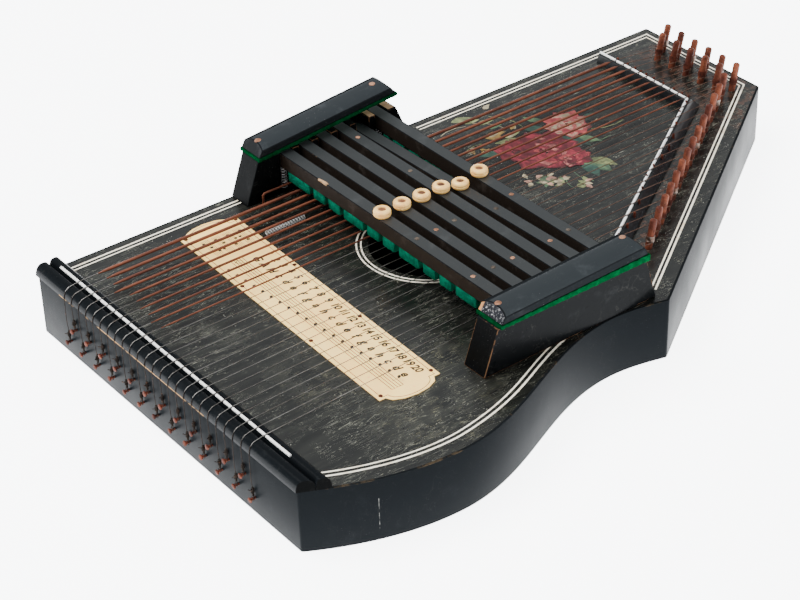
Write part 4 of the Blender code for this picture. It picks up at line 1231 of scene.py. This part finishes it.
def build_holder(paints, title, opens_low):
    """A block with sloping ends and an open slot for the end of each bar."""
    low, high = plan_box(f"{title}_bar_holder")
    foot, head = HOLDER_FEET[title]
    profile = [(foot[0], low.z), (foot[1], low.z), (head[1], high.z), (head[0], high.z)]
    bm = bmesh.new()
    loft(bm, [[(x, y, z) for x, z in profile] for y in (low.y, high.y)])
    holder = piece(f"{title}_holder_block", bm, [paints["holder"], paints["holder_edge"]],
                   replaces=[f"{title}_bar_holder"])
    bm = bmesh.new()
    for number in range(1, BARS + 1):
        bar_low, bar_high = plan_box(f"chord_bar_{number}")
        x = (bar_low.x + bar_high.x) / 2
        reach = (low.y - 0.002, low.y + SLOT_DEPTH) if opens_low else (high.y - SLOT_DEPTH, high.y + 0.002)
        block(bm, (x - SLOT_WIDTH / 2, x + SLOT_WIDTH / 2), reach, (SLOT_FLOOR, high.z + 0.002))
    cutter = new_object(f"{title}_slots", bm)
    cutter.location = PLAN
    cut = holder.modifiers.new("slots", "BOOLEAN")
    cut.object = cutter
    bpy.context.view_layer.update()
    shaped = bpy.data.meshes.new_from_object(holder.evaluated_get(bpy.context.evaluated_depsgraph_get()))
    holder.modifiers.clear()
    holder.data = shaped
    bpy.data.objects.remove(cutter)
    shaped.shade_flat()
    round_edges(holder, 0.00045, 2, 1)
    if opens_low:
        bm = bmesh.new()
        block(bm, (0.2472, 0.2521), (0.2474, 0.258), (high.z - 0.001, high.z + 0.00012))
        block(bm, (0.2324, 0.2365), (0.247, 0.256), (high.z - 0.001, high.z + 0.0001))
        piece("bass_holder_bare_teeth", bm, paints["bare_wood"])


def build_cover(paints, title, lift, felt_swells):
    """A low arch with bevelled ends over a strip of green felt."""
    x_range, y_range = COVER_X[title], COVER_Y[title]
    seat = plan_box(f"{title}_bar_holder")[1].z + 0.0002
    level = Matrix.Translation((x_range[0], 0, seat))
    lean = level @ Matrix.Rotation(-lift, 4, "Y")
    length = x_range[1] - x_range[0]
    middle, half = sum(y_range) / 2, (y_range[1] - y_range[0]) / 2
    rng = random.Random(3)

    steps = 64
    swelling = length * tan(lift) if felt_swells else 0.0
    rows = []
    for a in range(steps + 1):
        share = a / steps
        x = -FELT_OVERHANG + (length + 2 * FELT_OVERHANG) * share
        top = FELT_THICK + 0.65 * swelling * share
        flare = FELT_OVERHANG * (0.55 + 0.45 * sin(2.3 * a) * sin(0.9 * a))
        low, high = y_range[0] - flare, y_range[1] + FELT_OVERHANG * rng.uniform(0.5, 1.0)
        section = [(low, 0.0), (high, 0.0), (high + 0.0002, top * 0.5), (high, top), (low, top),
                   (low - 0.0002, top * 0.5)]
        rows.append([(x + (rng.uniform(-0.0002, 0.0002) if 0 < a < steps else 0.0),
                      y + rng.uniform(-0.00012, 0.00012), z + (rng.uniform(0, 0.0001) if z == 0 else 0))
                     for y, z in section])
    bm = bmesh.new()
    loft(bm, rows)
    bmesh.ops.transform(bm, matrix=level if felt_swells else lean, verts=bm.verts)
    felt_strip = piece(f"{title}_cover_felt_strip", bm, paints["cover_felt"],
                       replaces=[f"{title}_cover_felt"], sharp=60)

    def arch(share):
        return COVER_EDGE + (COVER_CROWN - COVER_EDGE) * (1 - abs(share) ** 2.6)

    profile = [(y_range[1], 0.0), (y_range[1], COVER_EDGE * 0.55)]
    profile += [(middle + half * share, arch(share)) for share in (1 - step / 12 for step in range(25))]
    profile += [(y_range[0], COVER_EDGE * 0.55), (y_range[0], 0.0)]
    slope = COVER_BEVEL / COVER_CROWN
    rest = FELT_THICK + 0.0002
    droop = 0.35 * swelling
    bm = bmesh.new()
    loft(bm, [[(z * slope + (length - 2 * z * slope) * share, y, z + rest - (0 if z else droop * share))
               for y, z in profile] for share in (0.0, 0.5, 1.0)])
    bmesh.ops.recalc_face_normals(bm, faces=bm.faces)
    # Faces turned to the sides take a darker copy of the cover's paint, a painted shade; the top keeps the
    # lighter one, a painted sheen.
    for face in bm.faces:
        if face.normal.x < -0.3:
            face.material_index = 1
        elif face.normal.y < -0.75 or face.normal.y > 0.25:
            face.material_index = 3
    bmesh.ops.transform(bm, matrix=lean, verts=bm.verts)
    looks = [paints[key] for key in ("cover", f"{title}_cover_end", "cover_edge", "cover_side")]
    shell = piece(f"{title}_cover_shell", bm, looks, replaces=[f"{title}_holder_cover"])
    round_edges(shell, 0.0005, 3, 2)
    bm = bmesh.new()
    for x, y in COVER_NAILS[title]:
        nail_head(bm, x - x_range[0], y, rest + arch((y - middle) / half) - 0.0002, COVER_NAIL_RADIUS)
    bmesh.ops.transform(bm, matrix=lean, verts=bm.verts)
    piece(f"{title}_cover_nails", bm, paints["copper_nail"])


def build_guard_wire(paints):
    """A thin wire bent into a low bow, its feet let into the board."""
    low, high = plan_box("guard_wire")
    radius, bend, steps = 0.00075, 0.0018, 5
    y = (low.y + high.y) / 2
    path = [(low.x + radius, y, HEIGHT - 0.001)]
    for foot, turn in ((low.x + radius, 1), (high.x - radius, -1)):
        arc = []
        for step in range(steps + 1):
            angle = pi / 2 * step / steps
            arc.append((foot + turn * bend * (1 - cos(angle)), y,
                        high.z - radius - bend * (1 - sin(angle))))
        path += arc[::turn]
    path.append((high.x - radius, y, HEIGHT - 0.001))
    bm = bmesh.new()
    tube(bm, path, radius, 14)
    piece("guard_wire_bow", bm, paints["copper"], replaces=["guard_wire"])


# ---- card, decal, loose spring
def on_card(across, along):
    """A point on the card: across from the hitch side, along towards the bass end."""
    c, s = cos(CARD_TURN), sin(CARD_TURN)
    return (CARD_CENTRE[0] + across * c - along * s, CARD_CENTRE[1] + across * s + along * c)


def add_text(bm, words, size, across, along, slant):
    """Raised print, read from the treble side, upright towards the bars."""
    curve = bpy.data.curves.new("print", "FONT")
    curve.body = words
    curve.size = size
    curve.shear = slant
    curve.align_x = "CENTER"
    curve.align_y = "CENTER"
    curve.extrude = 0.00004
    curve.offset = size * 0.032
    curve.resolution_u = 3
    item = bpy.data.objects.new("print", curve)
    bpy.context.scene.collection.objects.link(item)
    bpy.context.view_layer.update()
    mesh = bpy.data.meshes.new_from_object(item.evaluated_get(bpy.context.evaluated_depsgraph_get()))
    place = Matrix.Translation((*on_card(across, along), CARD_TOP + 0.00003))
    mesh.transform(place @ Matrix.Rotation(CARD_TURN - pi / 2, 4, "Z"))
    bm.from_mesh(mesh)
    bpy.data.objects.remove(item)
    bpy.data.curves.remove(curve)
    bpy.data.meshes.remove(mesh)


def card_line(bm, points, width):
    strip(bm, [on_card(*point) for point in points], width, *PRINT)


def card_arch(inset, sign):
    """Half of the card's border: round the cusped end on one side."""
    half, reach = CARD_SIZE[0] / 2 - inset, CARD_SIZE[1] / 2 - inset * 0.6
    neck = CARD_SIZE[0] / 2 - 0.004 - inset
    arch = [(-half, sign * reach), (-neck - 0.0006, sign * reach)]
    for step in range(17):
        angle = pi * step / 16
        arch.append((-neck * cos(angle), sign * (reach + 0.0075 * sin(angle))))
    return arch + [(neck + 0.0006, sign * reach), (half, sign * reach)]


def build_card(paints):
    """The scale card: border, stave with note heads, letters and string numbers, tacked down."""
    repaint("scale_card", paints["paper"])
    bm = bmesh.new()
    border = card_arch(BORDER_INSET, 1) + card_arch(BORDER_INSET, -1)[::-1]
    card_line(bm, border + border[:1], BORDER_LINE)
    for line in range(5):
        card_line(bm, [(STAVE_LOW + STAVE_GAP * line, along) for along in STAVE_ENDS], STAVE_LINE)
    for along in STAVE_ENDS[::-1]:
        card_line(bm, [(STAVE_LOW, along), (STAVE_LOW + 4 * STAVE_GAP, along)], 0.0002)
    head = [(0.00125 * c, 0.00115 * s) for c, s in circle(12)]
    for step, letter in enumerate("GAHcdefgahcdefgahcde"):
        along = FIRST_STEP - STEP_PITCH * step
        across = -0.015 + 0.016 * step / (STEPS_ON_CARD - 1)
        prism(bm, [on_card(across + a, along + b + a * 0.4) for a, b in head], *NOTE_LEVELS)
        stem = 0.0052 if step < 12 else -0.0052
        card_line(bm, [(across, along - 0.0009), (across + stem, along - 0.0009)], THIN_LINE)
        for ledger in range(3):
            level = STAVE_LOW - STAVE_GAP * (ledger + 1)
            if across < level + 0.001:
                card_line(bm, [(level, along + 0.0016), (level, along - 0.0016)], THIN_LINE)
        add_text(bm, letter, LETTER_SIZE, LETTER_ROW, along, 0.25)
        add_text(bm, str(step + 1), NUMBER_SIZE, NUMBER_ROW, along, 0.15)
    for a, across in enumerate((-0.0118, -0.0044, 0.003, 0.0104)):
        for line in range(5):
            level = across + SMALL_GAP * line
            card_line(bm, [(level, 0.093), (level, 0.074)], THIN_LINE)
        for note in range(3):
            spot = (across + SMALL_GAP * ((note * 2 + a) % 5), 0.09 - 0.0058 * note)
            prism(bm, [on_card(spot[0] + 0.8 * p, spot[1] + 0.8 * q) for p, q in head], *NOTE_LEVELS)
    clef = ((0.001, 0.061), (0.0038, 0.0628), (0.006, 0.0606), (0.0052, 0.0588), (0.003, 0.059),
            (0.0018, 0.0606), (0.0028, 0.0618))
    card_line(bm, [(STAVE_LOW + across, along) for across, along in clef], 0.0003)
    bmesh.ops.remove_doubles(bm, verts=bm.verts, dist=0.0000005)
    piece("card_print", bm, paints["ink"])
    bm = bmesh.new()
    for x, y in TACKS:
        nail_head(bm, x, y, CARD_TOP + 0.00005, TACK_RADIUS)
    piece("card_tacks", bm, paints["rust"])


def petal(bm, centre, turn, length, width, level, slot, curl, blunt):
    """A flat teardrop with its narrow end at the centre."""
    outline, steps = [], 9
    c, s = cos(turn), sin(turn)
    for side in (1, -1):
        for step in range(steps):
            t = step / steps if side == 1 else 1 - step / steps
            a = t * length
            b = side * width / 2 * sin(pi * t ** blunt) + curl * sin(pi * t)
            outline.append((centre[0] + a * c - b * s, centre[1] + a * s + b * c))
    prism(bm, outline, HEIGHT - 0.0001, HEIGHT + level, slot)


def rose(bm, centre, radius, shades, shadow, seed, level):
    """A full-blown rose: rings of petals, each ring smaller and a little higher, each petal shaded below."""
    rng = random.Random(seed)
    for ring, (share, count) in enumerate(((1.0, 9), (0.82, 9), (0.64, 8), (0.46, 7), (0.28, 6), (0.15, 4))):
        for a in range(count):
            turn = 2 * pi * (a + 0.5 * (ring % 2)) / count + rng.uniform(-0.25, 0.25)
            start = (centre[0] + radius * share * 0.3 * cos(turn),
                     centre[1] + radius * share * 0.3 * sin(turn))
            size, swing = radius * share * rng.uniform(0.6, 0.78), rng.uniform(-0.4, 0.4)
            width, curl = size * rng.uniform(0.7, 1.0), size * rng.uniform(-0.18, 0.18)
            height = level + 0.000022 * ring + 0.000002 * a
            petal(bm, start, turn + swing, size * 1.1, width * 1.16, height, shadow, curl, 0.72)
            petal(bm, start, turn + swing, size, width, height + 0.000008,
                  shades[(a * 2 + ring + rng.randrange(3)) % len(shades)], curl, 0.72)


def build_decal(paints):
    """A faded transfer of two roses with buds, leaves and grasses between the bars and the bridge."""
    rng = random.Random(41)
    slots = {name: a for a, name in enumerate(PRINTS)}
    bm = bmesh.new()

    def leaf(x, y, degrees, length, width, colour, curl=0.1):
        petal(bm, (x, y), radians(degrees), length, width, 0.00006 + rng.uniform(0, 0.00002),
              slots[colour], length * curl, 0.8)

    def grass(x, y, degrees, length, colour):
        turn = radians(degrees)
        path = [(x + length * t * cos(turn + 0.5 * t), y + length * t * sin(turn + 0.5 * t))
                for t in (0, 0.35, 0.7, 1.0)]
        strip(bm, path, 0.0005, HEIGHT - 0.0001, HEIGHT + 0.00005, slots[colour])

    for x, y, degrees, length, width, colour in (
            (0.336, 0.19, -62, 0.026, 0.008, "dark_green"), (0.343, 0.184, -50, 0.022, 0.007, "green"),
            (0.33, 0.16, -75, 0.026, 0.012, "green"), (0.334, 0.156, -58, 0.02, 0.009, "lime"),
            (0.328, 0.154, -95, 0.018, 0.009, "dark_green"), (0.34, 0.204, 140, 0.016, 0.008, "dark_green"),
            (0.318, 0.205, 165, 0.016, 0.007, "lime"), (0.312, 0.214, 150, 0.012, 0.006, "amber"),
            (0.3, 0.2, 170, 0.016, 0.006, "dark_green"), (0.3, 0.16, -120, 0.015, 0.007, "green"),
            (0.345, 0.212, 120, 0.014, 0.006, "green"), (0.366, 0.196, 10, 0.012, 0.005, "dark_green")):
        leaf(x, y, degrees, length, width, colour)
    for x, y, degrees, length, colour in (
            (0.298, 0.248, -14, 0.015, "lime"), (0.303, 0.2415, -10, 0.012, "lime"),
            (0.309, 0.2345, -5, 0.013, "lime"), (0.312, 0.2255, 0, 0.01, "green"),
            (0.303, 0.2185, -8, 0.015, "amber"), (0.312, 0.21, 3, 0.013, "lime"),
            (0.322, 0.216, 30, 0.008, "amber"), (0.325, 0.248, 20, 0.008, "cream")):
        leaf(x, y, degrees, length, length * 0.42, colour, 0.05)
        leaf(x + 0.002, y - 0.001, degrees + 14, length * 0.6, length * 0.25, "cream", 0.05)
    for a in range(9):
        x, y = 0.287 + rng.uniform(-0.003, 0.006), 0.207 + rng.uniform(-0.006, 0.006)
        leaf(x, y, rng.uniform(0, 360), 0.005, 0.0025, rng.choice(("amber", "lime", "cream")))
    for middle_x, middle_y, count in ((0.306, 0.1475, 13), (0.298, 0.153, 9), (0.315, 0.137, 9),
                                      (0.292, 0.161, 5)):
        for a in range(count):
            x, y = middle_x + rng.uniform(-0.004, 0.004), middle_y + rng.uniform(-0.004, 0.004)
            leaf(x, y, 360 * a / count, 0.0055, 0.0032, rng.choice(("cream", "lime", "green", "blush")))
    for x, y, degrees, length in (
            (0.352, 0.19, -25, 0.022), (0.362, 0.184, -40, 0.024), (0.345, 0.175, -42, 0.022),
            (0.318, 0.15, -110, 0.016), (0.308, 0.146, -130, 0.012), (0.33, 0.214, 80, 0.026),
            (0.32, 0.22, 95, 0.022), (0.296, 0.214, 160, 0.016), (0.302, 0.238, 150, 0.02)):
        grass(x, y, degrees, length, rng.choice(("green", "cream", "lime")))
    deep = slots["deep_red"]
    reds = [slots[n] for n in ("crimson", "deep_red", "scarlet", "crimson", "deep_red", "pink")]
    pinks = [slots[n] for n in ("pink", "blush", "scarlet", "pink", "cream", "blush")]
    rose(bm, (0.306, 0.194), 0.0125, reds[:2] + reds[3:5], deep, 5, 0.00008)
    rose(bm, (0.3535, 0.1985), 0.0168, pinks, slots["scarlet"], 7, 0.0001)
    rose(bm, (0.3205, 0.1815), 0.0235, reds, deep, 3, 0.00016)
    rose(bm, (0.33, 0.164), 0.012, reds, deep, 9, 0.0003)
    piece("flower_transfer", bm, [paints[name] for name in PRINTS], sharp=20)


def build_loose_spring(paints):
    low, high = plan_box("loose_spring")
    start = (low.x + LOOSE_WIRE, (low.y + high.y) / 2, (low.z + high.z) / 2)
    length = high.x - low.x - 2 * LOOSE_WIRE
    bm = bmesh.new()
    tube(bm, helix(start, (1, 0, 0), UP, LOOSE_RADIUS, LOOSE_TURNS, length, 18), LOOSE_WIRE, 8)
    piece("stray_spring", bm, paints["spring"], replaces=["loose_spring"])


# ---- everything
BLACK = (0.0055, 0.0065, 0.0075)
# name, gloss, specular, tint, dust, wear, scratches
LACQUERS = {
    "side": ("case_lacquer", 0.3, 0.009, (0.0045, 0.0055, 0.0065), 0.05, 0.12, 0.02, SIDE_MARK),
    "end": ("end_lacquer", 0.26, 0.225, (0.006, 0.0065, 0.007), 0.15, 0.4, 0.04),
    "pin_side": ("pin_side_lacquer", 0.16, 1.0, BLACK, 0.1, 0.4, 0.03),
    "rail": ("rail_lacquer", 0.18, 0.032, (0.0042, 0.0052, 0.0062), 0.15, 0.3, 0.05),
    "rail_end": ("rail_end_lacquer", 0.4, 0.0, (0.003, 0.0031, 0.0032), 0.1, 0.3, 0.05),
    "bridge": ("bridge_lacquer", 0.26, 0.2, BLACK, 0.35, 0.6, 0.1),
    "holder": ("holder_lacquer", 0.22, 0.014, (0.003, 0.0034, 0.0038), 0.15, 0.5, 0.05),
    # The cover's grey top is a painted sheen, and its darker side copy is painted shade.
    "cover": ("cover_lacquer", 0.17, 0.045, (0.022, 0.0255, 0.028), 0.2, 0.3, 0.06),
    "cover_side": ("cover_side_lacquer", 0.25, 0.0, (0.0085, 0.0098, 0.0108), 0.2, 0.3, 0.05),
    "bass_cover_end": ("bass_cover_end", 0.3, 0.06, BLACK, 1.0, 1.0, 0.2),
    "bar_side": ("bar_side_lacquer", 0.5, 0.1, (0.014, 0.01, 0.0075), 0.1, 0.8, 0.05),
    "bar_top": ("bar_top_lacquer", 0.4, 0.42, (0.014, 0.016, 0.0165), 0.12, 0.4, 0.05)}
# name, share of bare wood, its colour, specular
EDGES = {
    "curve_edge": ("curve_edge", 0.3, (0.06, 0.044, 0.028), 0.0),
    "edge": ("case_edge", 0.1, (0.2, 0.13, 0.075), 0.02),
    "rail_edge": ("rail_edge", 0.7, (0.36, 0.22, 0.11), 0.02),
    "holder_edge": ("holder_edge", 0.5, (0.15, 0.08, 0.042), 0.0),
    "cover_edge": ("cover_edge", -0.6, (0.4, 0.25, 0.12), 0.0),
    "bar_edge": ("bar_edge", -0.1, (0.12, 0.08, 0.05), 0.0)}
# name, light colour, dark colour
WOODS = {
    "raw_edge": ("hole_edge", (0.1, 0.06, 0.035), (0.03, 0.018, 0.012)),
    "bare_wood": ("bare_wood", (0.56, 0.36, 0.2), (0.34, 0.2, 0.1)),
    "pin_block": ("pin_block_wood", (0.3, 0.18, 0.1), (0.16, 0.09, 0.05)),
    "brace": ("brace_wood", (0.5, 0.34, 0.2), (0.34, 0.21, 0.11))}
# name, light colour, dark colour, metallic, specular
RUSTS = {
    "rust": ("rusty_nail", (0.11, 0.03, 0.018), (0.035, 0.011, 0.008), 0.0, 0.04),
    "pin_0": ("rusty_pin_a", (0.17, 0.047, 0.023), (0.07, 0.018, 0.011), 0.25, 0.15),
    "pin_1": ("rusty_pin_b", (0.2, 0.057, 0.028), (0.082, 0.022, 0.013), 0.25, 0.15),
    "pin_2": ("rusty_pin_c", (0.14, 0.038, 0.02), (0.058, 0.015, 0.01), 0.25, 0.15),
    "copper_nail": ("copper_nail", (0.44, 0.22, 0.13), (0.2, 0.085, 0.045), 0.4, 0.35),
    "button_nail": ("button_nail", (0.26, 0.11, 0.055), (0.1, 0.04, 0.022), 0.4, 0.35),
    "dark_nail": ("dark_nail", (0.13, 0.1, 0.075), (0.04, 0.028, 0.02), 0.4, 0.35)}
# name, bright colour, dull colour, roughness, metallic, spots, specular
STEELS = {
    "string": ("string_steel_paint", (0.23, 0.22, 0.205), (0.085, 0.075, 0.065), 0.38, 0.9, 0.5),
    # A lighter copy of the string steel for the runs over the rail: painted highlight.
    "bright_string": ("bright_string", (0.26, 0.25, 0.235), (0.1, 0.09, 0.08), 0.34, 0.9, 0.5),
    # The strings past the bars: rust, and painted shade.
    "dull_string": ("dull_string", (0.125, 0.065, 0.042), (0.055, 0.026, 0.018), 0.5, 0.5, 0.5),
    # A brighter steel for every fourth coil: painted glint.
    "glint": ("coil_steel", (0.3, 0.26, 0.23), (0.12, 0.06, 0.04), 0.32, 0.9, 0.8),
    # Near-black wire on the end face and in the loops: tarnish, and painted shade.
    "tarnished": ("tarnished_wire", (0.022, 0.017, 0.014), (0.009, 0.007, 0.006), 0.6, 0.0, 0.4, 0.03),
    "spring": ("spring_wire", (0.8, 0.8, 0.8), (0.3, 0.3, 0.3), 0.35, 0.35, 0.1)}
FELTS = {
    "damper_felt": ("damper_felt", (0.001, 0.185, 0.105), (0.012, 0.27, 0.16)),
    "cover_felt": ("cover_felt", (0.0005, 0.05, 0.014), (0.003, 0.095, 0.03))}
RODS = {
    "hitch_rod": ("hitch_rod", FIRST_AT_ROD, PITCH_AT_ROD),
    "bridge_rod": ("bridge_rod", FIRST_AT_BRIDGE, PITCH_AT_BRIDGE)}
PRINTS = {
    "crimson": ("decal_crimson", (0.3, 0.035, 0.05), (0.1, 0.012, 0.018)),
    "deep_red": ("decal_deep_red", (0.15, 0.018, 0.028), (0.055, 0.008, 0.012)),
    "scarlet": ("decal_scarlet", (0.4, 0.075, 0.07), (0.18, 0.022, 0.028)),
    "pink": ("decal_pink", (0.45, 0.15, 0.13), (0.2, 0.06, 0.055)),
    "blush": ("decal_blush", (0.5, 0.29, 0.21), (0.24, 0.12, 0.09)),
    "green": ("decal_green", (0.11, 0.18, 0.085), (0.04, 0.075, 0.045)),
    "dark_green": ("decal_dark_green", (0.035, 0.085, 0.06), (0.015, 0.036, 0.028)),
    "lime": ("decal_lime", (0.24, 0.26, 0.11), (0.1, 0.12, 0.05)),
    "cream": ("decal_cream", (0.42, 0.36, 0.23), (0.2, 0.16, 0.1)),
    "amber": ("decal_amber", (0.36, 0.23, 0.06), (0.17, 0.09, 0.03))}


def make_paints():
    paints = {"board": board_lacquer(), "treble_cover_end": scuffed_end(), "purfling": purfling_white(),
              "copper": copper_winding(), "ivory": ivory(), "paper": paper(), "ink": ink()}
    for make, looks in ((lacquer, LACQUERS), (worn_edge, EDGES), (wood, WOODS), (rust, RUSTS),
                        (steel, STEELS), (felt, FELTS), (celluloid, RODS), (faded, PRINTS)):
        paints.update({key: make(*look) for key, look in looks.items()})
    return paints


def build():
    add_camera()
    paints = make_paints()
    add_studio()
    for make in (build_case, build_inlay, build_rail, build_bridge, build_strings, build_hitch_pins,
                 build_tuning_pins, build_bars):
        make(paints)
    build_holder(paints, "bass", True)
    build_holder(paints, "treble", False)
    build_cover(paints, "bass", BASS_COVER_LIFT, False)
    build_cover(paints, "treble", TREBLE_COVER_LIFT, True)
    build_guard_wire(paints)
    build_card(paints)
    build_decal(paints)
    build_loose_spring(paints)
    repaint("pin_block", paints["pin_block"])
    repaint("brace", paints["brace"])


build()
